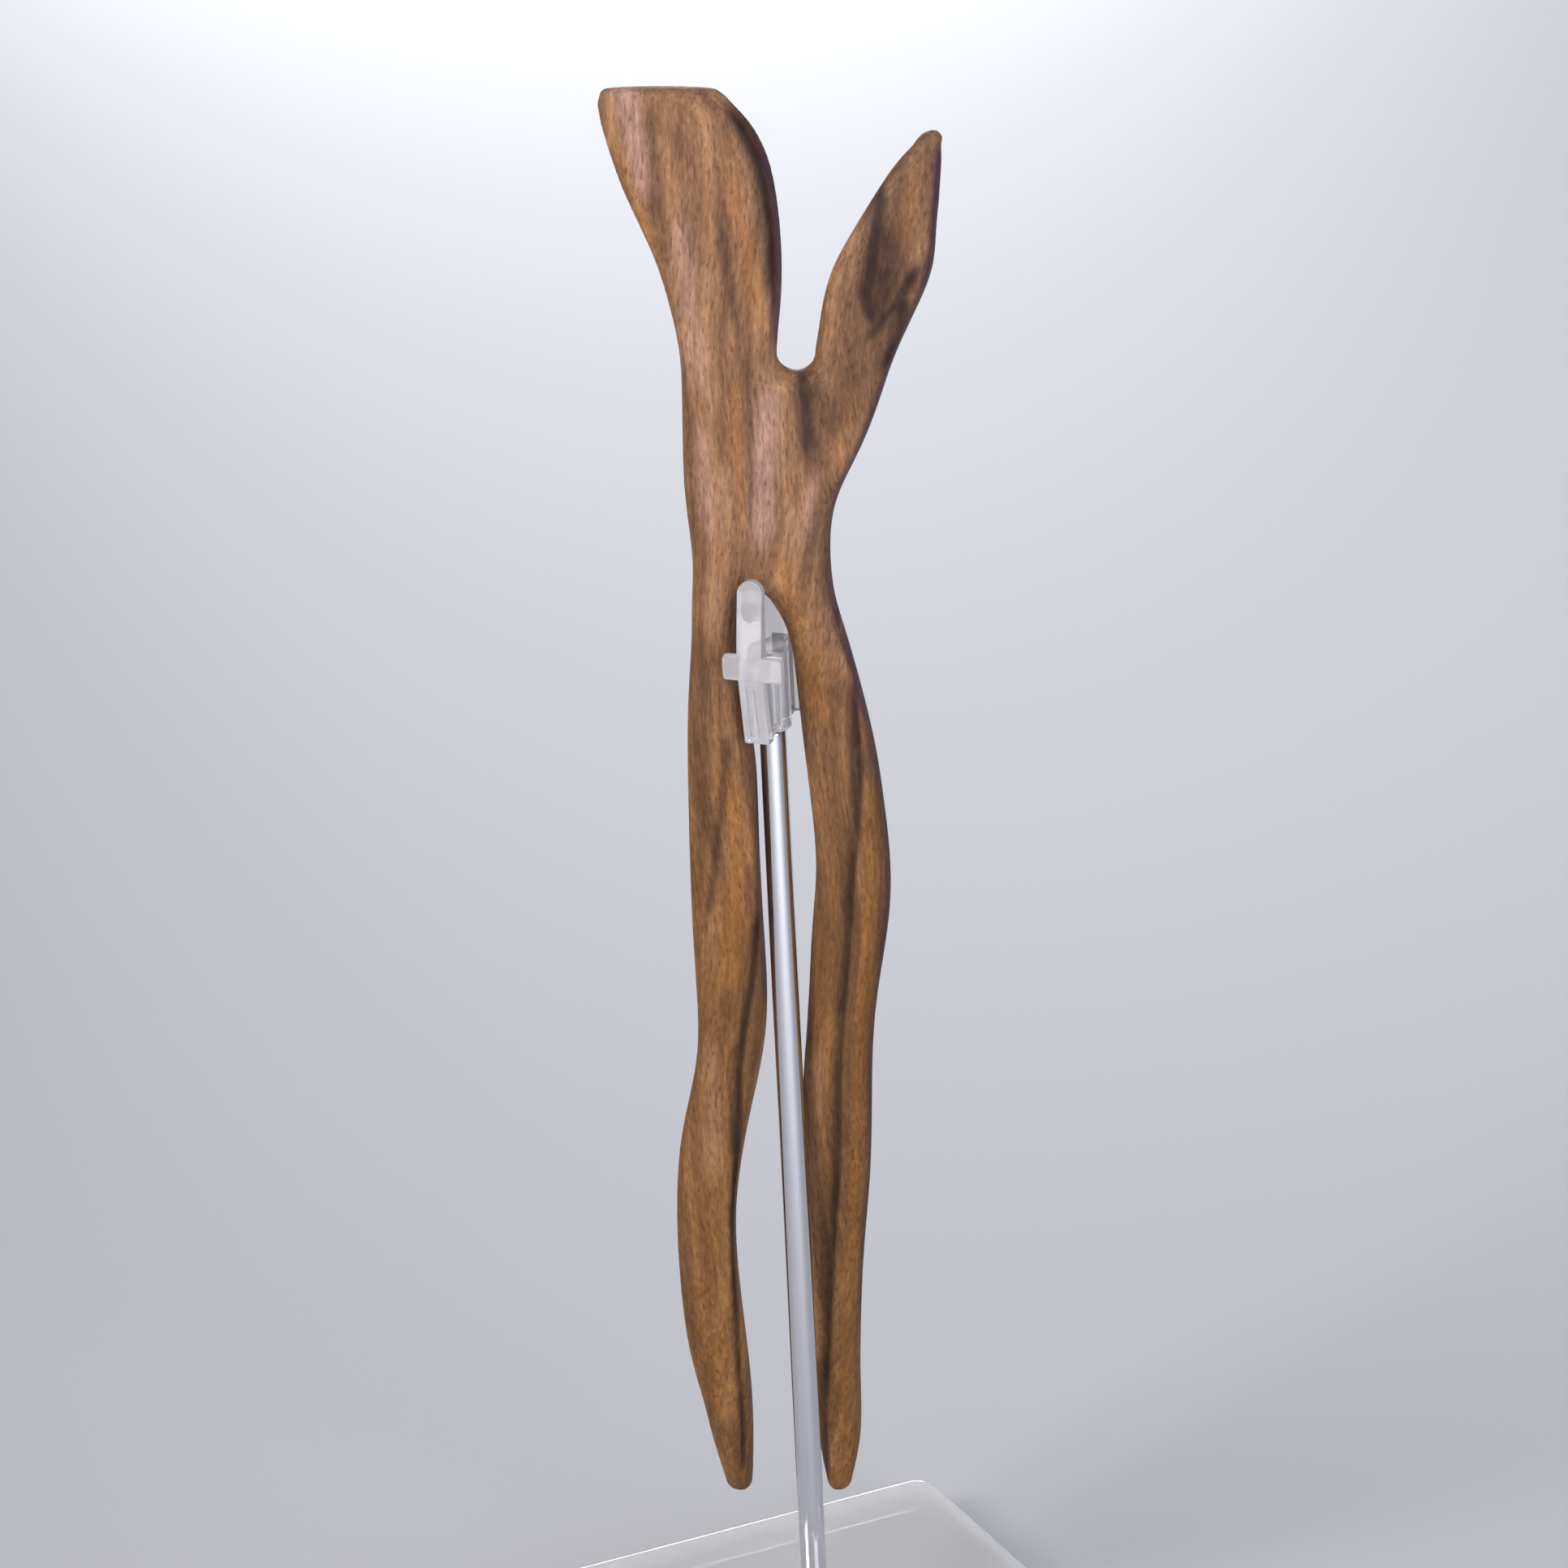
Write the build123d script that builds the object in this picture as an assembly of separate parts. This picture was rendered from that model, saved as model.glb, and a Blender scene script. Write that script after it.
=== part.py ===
from build123d import *
import os
from math import cos, radians, sin, tan

os.makedirs("parts", exist_ok=True)

# A two-pronged hair fork carved from one piece of walnut, hung by its crotch on a clear
# clip at the top of a steel rod that stands in a clear slab.
# Millimetres. X is to the right, -Y is the front, Z is up, and Z = 0 is the slab's underside.
# The rod comes out of the top of the slab at X = 0, Y = 0.

# The fork
fork_length = 163.0       # prong tips to the flat top of the broad lobe
head_spread = 34.4        # widest part, across the two lobes
limb_width = 8.0          # a limb where its table says 1
fork_thickness = 5.2      # front to back where the tables say 1
bow_depth = 4.6           # how far both ends lie behind the middle
fork_lean = 7.6           # how much further back the tips hang than the top
prong_tip_radius = 1.42
leaf_tip_radius = 1.55
notch_radius = 1.92       # round bottom of the notch in the head
crotch_radius = 1.55      # round top of the gap between the prongs
crotch_reach = 1.38       # from the rod's axis to the middle of the gap's top
crotch_ahead = 0.4        # from the rod's axis forward to the middle of the wood there

# The stand
tip_clearance = 16.1      # prong tips above the slab
rod_diameter = 2.8
rod_lean = 2.54           # degrees, the top to the left
rod_foot_depth = 3.5      # how far the rod goes into the slab
rod_socket_depth = 6.5    # how far the rod goes into the clip
rod_fit = 0.1             # room round the rod in its two holes
rod_end_bevel = 0.3
base_side = 60.0
base_thickness = 5.0
base_corner_radius = 2.4
base_edge_bevel = 0.5
base_turn = 28.0          # degrees
clip_turn = 20.0          # degrees, the front of the clip to the left
clip_foot_drop = 15.8     # underside of the clip below the crotch
jaw_width = 3.0
jaw_thickness = 1.4
jaw_tip_thickness = 0.8
jaw_rise = 2.1            # top of the front jaw above the crotch
jaw_foot_front = 4.9      # front of the jaw ahead of the rod's axis, at its foot
jaw_ear_front = 6.2       # the same at the ears
jaw_tip_front = 4.8       # the same at its top
ear_length = 1.8          # each ear of the front jaw, sideways
ear_height = 3.2
ear_thickness = 1.3
ear_drop = 7.13           # middle of the ears below the crotch
ear_shift = 0.4           # their middle, to the right of the plate's
peg_radius = 1.1          # peg of the front jaw that the crotch hangs on
seat_gap = 0.3            # wood above the peg
block_width = 2.2
boss_wall = 0.5           # round the rod's socket
rear_jaw_front = 3.9      # front face of the rear jaw behind the rod's axis
rear_jaw_width = 4.6
rear_jaw_height = 14.6
rear_jaw_corner = 1.2
part_gap = 0.15           # between the two mouldings of the clip
ear_corner = 0.3

# Heights of the two round-bottomed openings, as shares of fork_length
NOTCH_UP = 0.8190
CROTCH_UP = 0.6770
# Their places across, as shares of head_spread from the middle of the head
NOTCH_ACROSS = 0.078
CROTCH_ACROSS = -0.052
# How far right the pointed lobe's very tip leans, as a share of head_spread
LEAF_TIP_ASIDE = 0.018

# The columns of the three tables are up (share of fork_length), across (the centre, a share
# of head_spread), wide (share of limb_width) and thick (share of fork_thickness).
LEFT_LIMB = [
    (0.0095, -0.098, 0.366, 0.58),
    (0.043, -0.117, 0.555, 0.76),
    (0.070, -0.130, 0.650, 0.83),
    (0.100, -0.151, 0.760, 0.88),
    (0.135, -0.172, 0.808, 0.92),
    (0.187, -0.192, 0.790, 0.95),
    (0.230, -0.196, 0.790, 0.96),
    (0.276, -0.178, 0.845, 0.97),
    (0.310, -0.150, 0.845, 0.97),
    (0.345, -0.121, 0.860, 0.98),
    (0.385, -0.114, 0.930, 0.99),
    (0.444, -0.128, 0.930, 1.00),
    (0.510, -0.138, 0.900, 1.00),
    (0.560, -0.143, 0.885, 1.00),
    (0.605, -0.158, 0.720, 1.00),
    (0.640, -0.159, 0.620, 1.00),
    (0.662, -0.157, 0.635, 1.00),
    (0.690, -0.130, 0.830, 1.01),
    (0.710, -0.111, 1.060, 1.02),
    (0.740, -0.090, 1.380, 1.04),
    (0.775, -0.083, 1.480, 1.05),
    (0.805, -0.098, 1.370, 1.05),
    (0.830, -0.120, 1.220, 1.03),
    (0.860, -0.128, 1.395, 1.02),
    (0.895, -0.151, 1.615, 1.00),
    (0.930, -0.196, 1.880, 0.95),
    (0.958, -0.233, 1.960, 0.86),
    (0.978, -0.271, 1.860, 0.74),
    (0.989, -0.298, 1.700, 0.64),
    (0.996, -0.311, 1.530, 0.53),
    (1.000, -0.316, 1.300, 0.36),
]
RIGHT_LIMB = [
    (0.0095, 0.219, 0.340, 0.58),
    (0.043, 0.219, 0.565, 0.76),
    (0.075, 0.214, 0.625, 0.83),
    (0.103, 0.206, 0.660, 0.88),
    (0.149, 0.198, 0.750, 0.92),
    (0.187, 0.193, 0.835, 0.95),
    (0.225, 0.195, 0.915, 0.96),
    (0.263, 0.200, 0.960, 0.97),
    (0.310, 0.205, 0.935, 0.98),
    (0.365, 0.215, 0.880, 0.99),
    (0.409, 0.231, 0.940, 1.00),
    (0.444, 0.245, 1.000, 1.00),
    (0.480, 0.253, 0.970, 1.00),
    (0.526, 0.234, 0.950, 1.00),
    (0.570, 0.207, 0.925, 1.00),
    (0.615, 0.171, 0.810, 1.00),
    (0.648, 0.138, 0.735, 1.00),
    (0.668, 0.100, 0.830, 1.00),
    (0.688, 0.068, 1.000, 1.00),
    (0.715, 0.080, 0.880, 1.00),
    (0.740, 0.113, 0.790, 1.00),
    (0.769, 0.160, 0.930, 0.99),
    (0.801, 0.206, 1.010, 0.97),
    (0.830, 0.249, 1.000, 0.96),
    (0.865, 0.297, 1.215, 0.93),
    (0.888, 0.333, 1.240, 0.89),
    (0.910, 0.364, 1.030, 0.83),
    (0.930, 0.396, 0.830, 0.76),
    (0.948, 0.425, 0.620, 0.64),
    (0.964, 0.457, 0.345, 0.45),
]
WAIST = [
    (0.668, -0.014, 1.720, 0.92),
    (0.700, -0.025, 1.690, 0.96),
    (0.740, -0.023, 1.850, 0.98),
    (0.775, 0.015, 2.220, 0.98),
    (0.810, 0.038, 2.420, 0.96),
    (0.824, 0.049, 2.500, 0.94),
]

# A limb's section is four arcs that meet at these shares of its half width and half thickness
CORNER_ACROSS = 0.70
CORNER_DEEP = 0.76
# A round tip is closed by sections at these angles of its quarter circle
TIP_ANGLES = (25, 50, 75, 86)

slab_top = base_thickness
tips_z = slab_top + tip_clearance
crotch_z = tips_z + CROTCH_UP * fork_length


def rod_x(z):
    """X of the leaning rod's axis at a height."""
    return -(z - slab_top) * tan(radians(rod_lean))


# The middle of the head, from where the clip stands under the crotch
fork_middle = rod_x(crotch_z) - crotch_reach - CROTCH_ACROSS * head_spread


def fork_x(across):
    """X of a share of head_spread from the middle of the head."""
    return fork_middle + across * head_spread


def fork_z(up):
    """Z of a share of fork_length above the prong tips."""
    return tips_z + up * fork_length


def fork_y(up):
    """Y of the middle of the wood at a height share, from the lean and the bow."""
    lean = fork_lean * (CROTCH_UP - up)
    bow = bow_depth * ((2 * up - 1) ** 2 - (2 * CROTCH_UP - 1) ** 2)
    return lean + bow - crotch_ahead


def section(up, across, wide, thick):
    """Level oval section of the wood, its half width and half thickness in mm."""
    x, y, z = fork_x(across), fork_y(up), fork_z(up)
    side, deep = wide * CORNER_ACROSS, thick * CORNER_DEEP
    corners = [(x - side, y - deep), (x + side, y - deep), (x + side, y + deep), (x - side, y + deep)]
    middles = [(x, y - thick), (x + wide, y), (x, y + thick), (x - wide, y)]
    arcs = []
    for i, middle in enumerate(middles):
        start, end = corners[i], corners[(i + 1) % 4]
        arcs.append(ThreePointArc((*start, z), (*middle, z), (*end, z)))
    return Face(Wire(arcs))


def row_section(row):
    """The section that a row of a table gives."""
    up, across, wide, thick = row
    return section(up, across, wide * limb_width / 2, thick * fork_thickness / 2)


def tip_sections(row, radius, way, aside=0):
    """Sections that close a limb with a round tip beyond a row, way 1 up or -1 down."""
    up, across, wide, thick = row
    sections = []
    for angle in TIP_ANGLES:
        share, rise = cos(radians(angle)), sin(radians(angle))
        level = up + way * radius * rise / fork_length
        half_wide = wide * limb_width / 2 * share
        half_thick = thick * fork_thickness / 2 * share
        sections.append(section(level, across + rise * aside, half_wide, half_thick))
    return sections


def opening(up, across, radius, way):
    """Cutter of a round-ended gap through the wood, open the way it runs, 1 up or -1 down."""
    x, z = fork_x(across), fork_z(up) + way * radius
    cut_depth = 4 * fork_thickness
    round_end = Pos(x, 0, z) * Rot(90, 0, 0) * Cylinder(radius, cut_depth)
    run = Pos(x, 0, z + way * radius / 2) * Box(2 * radius, cut_depth, radius)
    return round_end + run


def hair_fork():
    """The fork: two limbs from lobe to prong tip, joined by a waist."""
    left_tip = tip_sections(LEFT_LIMB[0], prong_tip_radius, -1)[::-1]
    left = loft(left_tip + [row_section(row) for row in LEFT_LIMB])
    right_tip = tip_sections(RIGHT_LIMB[0], prong_tip_radius, -1)[::-1]
    leaf_tip = tip_sections(RIGHT_LIMB[-1], leaf_tip_radius, 1, LEAF_TIP_ASIDE)
    right = loft(right_tip + [row_section(row) for row in RIGHT_LIMB] + leaf_tip)
    waist = loft([row_section(row) for row in WAIST])
    wood = left + right + waist
    wood -= opening(NOTCH_UP, NOTCH_ACROSS, notch_radius, 1)
    wood -= opening(CROTCH_UP, CROTCH_ACROSS, crotch_radius, -1)
    return wood


# The leaning frame of the rod, with its origin where the rod leaves the slab
LEAN = Pos(0, 0, slab_top) * Rot(0, -rod_lean, 0)
# The same frame turned the way the clip faces
CLIP = LEAN * Rot(0, 0, -clip_turn)
crotch_level = (crotch_z - slab_top) / cos(radians(rod_lean))
clip_foot = crotch_level - clip_foot_drop
ear_level = crotch_level - ear_drop


def side_cut(points, wide):
    """Solid with a side outline of (ahead, level) points, centred across the clip."""
    outline = make_face(Polyline(*[(-ahead, level) for ahead, level in points], close=True))
    return extrude(Plane.YZ * outline, wide / 2, both=True)


def front_jaw():
    """Front jaw of the clip: a bent round-topped plate with two ears and the peg behind it."""
    jaw_top = crotch_level + jaw_rise
    plate = side_cut(
        [
            (jaw_foot_front, clip_foot),
            (jaw_ear_front, ear_level),
            (jaw_tip_front, jaw_top),
            (jaw_tip_front - jaw_tip_thickness, jaw_top),
            (jaw_ear_front - jaw_thickness, ear_level),
            (jaw_foot_front - jaw_thickness, clip_foot),
        ],
        jaw_width,
    )
    shank_height = jaw_top - clip_foot - jaw_width / 2
    cut_depth = 4 * jaw_ear_front
    tongue = Pos(0, 0, clip_foot + shank_height / 2) * Box(jaw_width, cut_depth, shank_height)
    tongue += Pos(0, 0, jaw_top - jaw_width / 2) * Rot(90, 0, 0) * Cylinder(jaw_width / 2, cut_depth)
    plate &= tongue
    ear_middle = jaw_ear_front - jaw_thickness / 2
    ears = Box(jaw_width + 2 * ear_length, ear_thickness, ear_height)
    ears = fillet(ears.edges().filter_by(Axis.Y), ear_corner)
    plate += Pos(ear_shift, -ear_middle, ear_level) * ears
    peg_front = jaw_tip_front - jaw_tip_thickness / 2
    peg_length = peg_front + rear_jaw_front - part_gap
    peg_level = crotch_level - seat_gap - peg_radius
    peg = Rot(90, 0, 0) * Cylinder(peg_radius, peg_length)
    peg = Pos(-crotch_reach, peg_length / 2 - peg_front, peg_level) * peg
    return CLIP * plate + LEAN * peg


def clip_body():
    """Body of the clip: the block and boss that take the rod, and the rear jaw."""
    back = jaw_thickness + part_gap
    block = side_cut(
        [
            (jaw_foot_front - back, clip_foot),
            (jaw_ear_front - back, ear_level),
            (-rear_jaw_front, ear_level),
            (-rear_jaw_front, clip_foot),
        ],
        block_width,
    )
    boss_height = ear_level - clip_foot
    socket_radius = rod_diameter / 2 + rod_fit
    boss = Pos(0, 0, clip_foot + boss_height / 2) * Cylinder(socket_radius + boss_wall, boss_height)
    rear = Box(rear_jaw_width, jaw_thickness, rear_jaw_height)
    rear = fillet(rear.edges().filter_by(Axis.Y), rear_jaw_corner)
    rear = Pos(0, rear_jaw_front + jaw_thickness / 2, clip_foot + rear_jaw_height / 2) * rear
    socket = Pos(0, 0, clip_foot + rod_socket_depth / 2) * Cylinder(socket_radius, rod_socket_depth)
    return CLIP * (block + boss + rear - socket)


def rod():
    """Steel rod from its hole in the slab to its socket in the clip."""
    top = clip_foot + rod_socket_depth - rod_fit
    length = top + rod_foot_depth
    bar = Pos(0, 0, length / 2 - rod_foot_depth) * Cylinder(rod_diameter / 2, length)
    bar = chamfer(bar.edges().filter_by(GeomType.CIRCLE), rod_end_bevel)
    return LEAN * bar


def base():
    """Clear square slab with a leaning hole for the rod."""
    slab = extrude(RectangleRounded(base_side, base_side, base_corner_radius), base_thickness)
    rims = slab.faces().filter_by(Axis.Z).edges()
    slab = Rot(0, 0, base_turn) * chamfer(rims, base_edge_bevel)
    hole_depth = rod_foot_depth + rod_fit
    hole = Cylinder(rod_diameter / 2 + rod_fit, 2 * hole_depth)
    return slab - LEAN * hole


PIECES = {
    "hair_fork": hair_fork,
    "clip_front_jaw": front_jaw,
    "clip_body": clip_body,
    "rod": rod,
    "base": base,
}

for name, make in PIECES.items():
    piece = make()
    piece.label = name
    print(name, "valid", piece.is_valid, "volume", round(piece.volume, 1), "solids", len(piece.solids()))
    export_step(piece, f"parts/{name}.step")
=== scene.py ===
"""Looks of a carved walnut hair fork that hangs on a small clear display stand.

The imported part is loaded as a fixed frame, and each piece here takes its place and size from it.
Lengths are millimetres until MM turns them to metres. X is to the right, -Y is the front, Z is up.
"""

from __future__ import annotations

import logging
import math
from dataclasses import dataclass
from enum import Enum
from typing import Callable, NamedTuple, Sequence

import bmesh
import bpy
import numpy as np
from mathutils import Matrix, Vector


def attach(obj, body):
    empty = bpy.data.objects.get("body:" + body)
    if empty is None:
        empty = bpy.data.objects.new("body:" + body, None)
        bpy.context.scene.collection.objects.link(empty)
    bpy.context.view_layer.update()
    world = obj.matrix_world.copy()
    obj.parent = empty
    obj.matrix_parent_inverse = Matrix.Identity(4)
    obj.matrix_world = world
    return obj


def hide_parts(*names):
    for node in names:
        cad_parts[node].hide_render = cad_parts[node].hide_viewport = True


MM = 0.001
# places closer than this count as one, in metres
NEAR = 0.001 * MM
BODY = "root"

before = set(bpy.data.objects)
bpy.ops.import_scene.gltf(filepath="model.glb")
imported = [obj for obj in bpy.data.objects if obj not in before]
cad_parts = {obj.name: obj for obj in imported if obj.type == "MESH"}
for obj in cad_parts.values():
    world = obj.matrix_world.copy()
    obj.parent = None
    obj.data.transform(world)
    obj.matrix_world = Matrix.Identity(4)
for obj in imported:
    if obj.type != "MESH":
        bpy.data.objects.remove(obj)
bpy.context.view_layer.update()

log = logging.getLogger("hair_fork")

Point = tuple[float, float, float]
Solid = bpy.types.Object
Finish = bpy.types.Material
Socket = bpy.types.NodeSocket


class Row(NamedTuple):
    """One level section of the wood, in shares of the fork's named sizes.

    up is a share of the length above the prong tips, across the section's middle as a share of
    the head's spread, wide and thick shares of the limb's width and thickness. crest is where the
    front stands highest, from -1 at the left edge to 1 at the right one, and left and right say
    how full the surface is on each side of it: about 2 is round, near 1 is a flat facet.
    """

    up: float
    across: float
    wide: float
    thick: float
    crest: float = 0.0
    left: float = 2.2
    right: float = 2.2


LEFT_LIMB = [
    Row(0.0095, -0.098, 0.366, 0.58, 0.40, 2.0, 1.7),
    Row(0.043, -0.117, 0.555, 0.76, 0.60, 2.1, 1.5),
    Row(0.070, -0.130, 0.650, 0.83, 0.68, 2.1, 1.4),
    Row(0.100, -0.151, 0.760, 0.88, 0.74, 2.1, 1.4),
    Row(0.135, -0.172, 0.808, 0.92, 0.76, 2.1, 1.4),
    Row(0.187, -0.192, 0.790, 0.95, 0.78, 2.1, 1.4),
    Row(0.230, -0.196, 0.790, 0.96, 0.80, 2.1, 1.4),
    Row(0.276, -0.178, 0.845, 0.97, 0.78, 2.1, 1.4),
    Row(0.310, -0.150, 0.845, 0.97, 0.68, 2.0, 1.4),
    Row(0.345, -0.121, 0.860, 0.98, 0.54, 2.0, 1.4),
    Row(0.385, -0.114, 0.930, 0.99, 0.52, 2.0, 1.4),
    Row(0.444, -0.128, 0.930, 1.00, 0.76, 2.1, 1.4),
    Row(0.510, -0.138, 0.900, 1.00, 0.80, 2.2, 1.6),
    Row(0.560, -0.143, 0.885, 1.00, 0.60, 2.2, 1.9),
    Row(0.605, -0.158, 0.720, 1.00, 0.30, 2.2, 2.1),
    Row(0.640, -0.159, 0.620, 1.00, 0.10),
    Row(0.662, -0.157, 0.635, 1.00),
    Row(0.690, -0.130, 0.830, 1.01),
    Row(0.710, -0.111, 1.060, 1.02),
    Row(0.740, -0.090, 1.380, 1.04, 0.10),
    Row(0.775, -0.083, 1.480, 1.05, 0.30, 2.3, 2.1),
    Row(0.805, -0.098, 1.370, 1.05, 0.55, 2.4, 1.9),
    Row(0.830, -0.120, 1.220, 1.03, 0.74, 2.5, 1.6),
    Row(0.860, -0.128, 1.395, 1.02, 0.76, 2.6, 1.5),
    Row(0.895, -0.151, 1.615, 1.00, 0.76, 2.6, 1.4),
    Row(0.930, -0.196, 1.880, 0.95, 0.77, 2.6, 1.4),
    Row(0.958, -0.233, 1.960, 0.86, 0.78, 2.6, 1.5),
    Row(0.978, -0.271, 1.860, 0.74, 0.78, 2.6, 1.6),
    Row(0.989, -0.298, 1.700, 0.64, 0.60, 2.5, 1.9),
    Row(0.996, -0.311, 1.545, 0.53, 0.40, 2.4, 2.1),
    Row(0.999, -0.316, 1.420, 0.42, 0.20),
    Row(1.000, -0.315, 1.290, 0.30),
]
RIGHT_LIMB = [
    Row(0.0095, 0.219, 0.340, 0.58, -0.30, 1.8, 2.0),
    Row(0.043, 0.219, 0.565, 0.76, -0.30, 1.5, 2.0),
    Row(0.075, 0.214, 0.625, 0.83, -0.18, 1.4, 1.9),
    Row(0.103, 0.206, 0.660, 0.88, -0.08, 1.4, 1.8),
    Row(0.149, 0.198, 0.750, 0.92, 0.00, 1.4, 1.7),
    Row(0.187, 0.193, 0.835, 0.95, 0.05, 1.4, 1.7),
    Row(0.225, 0.195, 0.915, 0.96, 0.14, 1.4, 1.7),
    Row(0.263, 0.200, 0.960, 0.97, 0.18, 1.4, 1.7),
    Row(0.310, 0.205, 0.935, 0.98, 0.14, 1.4, 1.7),
    Row(0.365, 0.215, 0.880, 0.99, 0.14, 1.4, 1.7),
    Row(0.409, 0.231, 0.940, 1.00, 0.12, 1.5, 1.7),
    Row(0.444, 0.245, 1.000, 1.00, 0.10, 1.5, 1.7),
    Row(0.480, 0.253, 0.970, 1.00, 0.14, 1.6, 1.7),
    Row(0.526, 0.234, 0.950, 1.00, 0.36, 1.8, 1.6),
    Row(0.570, 0.207, 0.925, 1.00, 0.66, 2.0, 1.5),
    Row(0.615, 0.171, 0.810, 1.00, 0.84, 2.2, 1.6),
    Row(0.648, 0.138, 0.735, 1.00, 0.50, 2.2, 2.0),
    Row(0.668, 0.100, 0.830, 1.00),
    Row(0.688, 0.068, 1.000, 1.00),
    Row(0.715, 0.080, 0.880, 1.00, 0.10),
    Row(0.740, 0.113, 0.790, 1.00, 0.30, 2.2, 2.1),
    Row(0.769, 0.160, 0.930, 0.99, 0.55, 2.2, 2.0),
    Row(0.801, 0.206, 1.010, 0.97, 0.66, 2.3, 1.8),
    Row(0.830, 0.249, 1.000, 0.96, 0.70, 2.3, 1.7),
    Row(0.865, 0.297, 1.215, 0.93, 0.74, 2.4, 1.6),
    Row(0.888, 0.333, 1.240, 0.89, 0.78, 2.4, 1.6),
    Row(0.910, 0.364, 1.030, 0.83, 0.78, 2.4, 1.6),
    Row(0.930, 0.396, 0.830, 0.76, 0.76, 2.3, 1.7),
    Row(0.948, 0.425, 0.620, 0.64, 0.60, 2.2, 1.9),
    Row(0.958, 0.445, 0.470, 0.54, 0.50, 2.2, 2.0),
    Row(0.964, 0.457, 0.345, 0.45, 0.30, 2.2, 2.0),
]
WAIST = [
    Row(0.668, -0.014, 1.720, 0.92),
    Row(0.700, -0.025, 1.690, 0.96),
    Row(0.740, -0.023, 1.850, 0.98),
    Row(0.775, 0.015, 2.220, 0.98),
    Row(0.810, 0.038, 2.420, 0.96),
    Row(0.824, 0.049, 2.500, 0.94),
]


def metres(x: float, y: float, z: float) -> Vector:
    """A point given in millimetres, as metres."""
    return Vector((x, y, z)) * MM


def linear(colour: str) -> tuple[float, float, float, float]:
    """Turn an sRGB hex colour to the linear values that a shader takes.

    Args:
        colour: six hex digits with a leading hash.

    Returns:
        Linear red, green and blue, and 1 for opaque.
    """
    shares = [int(colour[i : i + 2], 16) / 255 for i in (1, 3, 5)]
    red, green, blue = [
        share / 12.92 if share <= 0.04045 else ((share + 0.055) / 1.055) ** 2.4 for share in shares
    ]
    return red, green, blue, 1.0


class Way(Enum):
    """What one solid does to another."""

    JOIN = "UNION"
    CUT = "DIFFERENCE"


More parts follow.
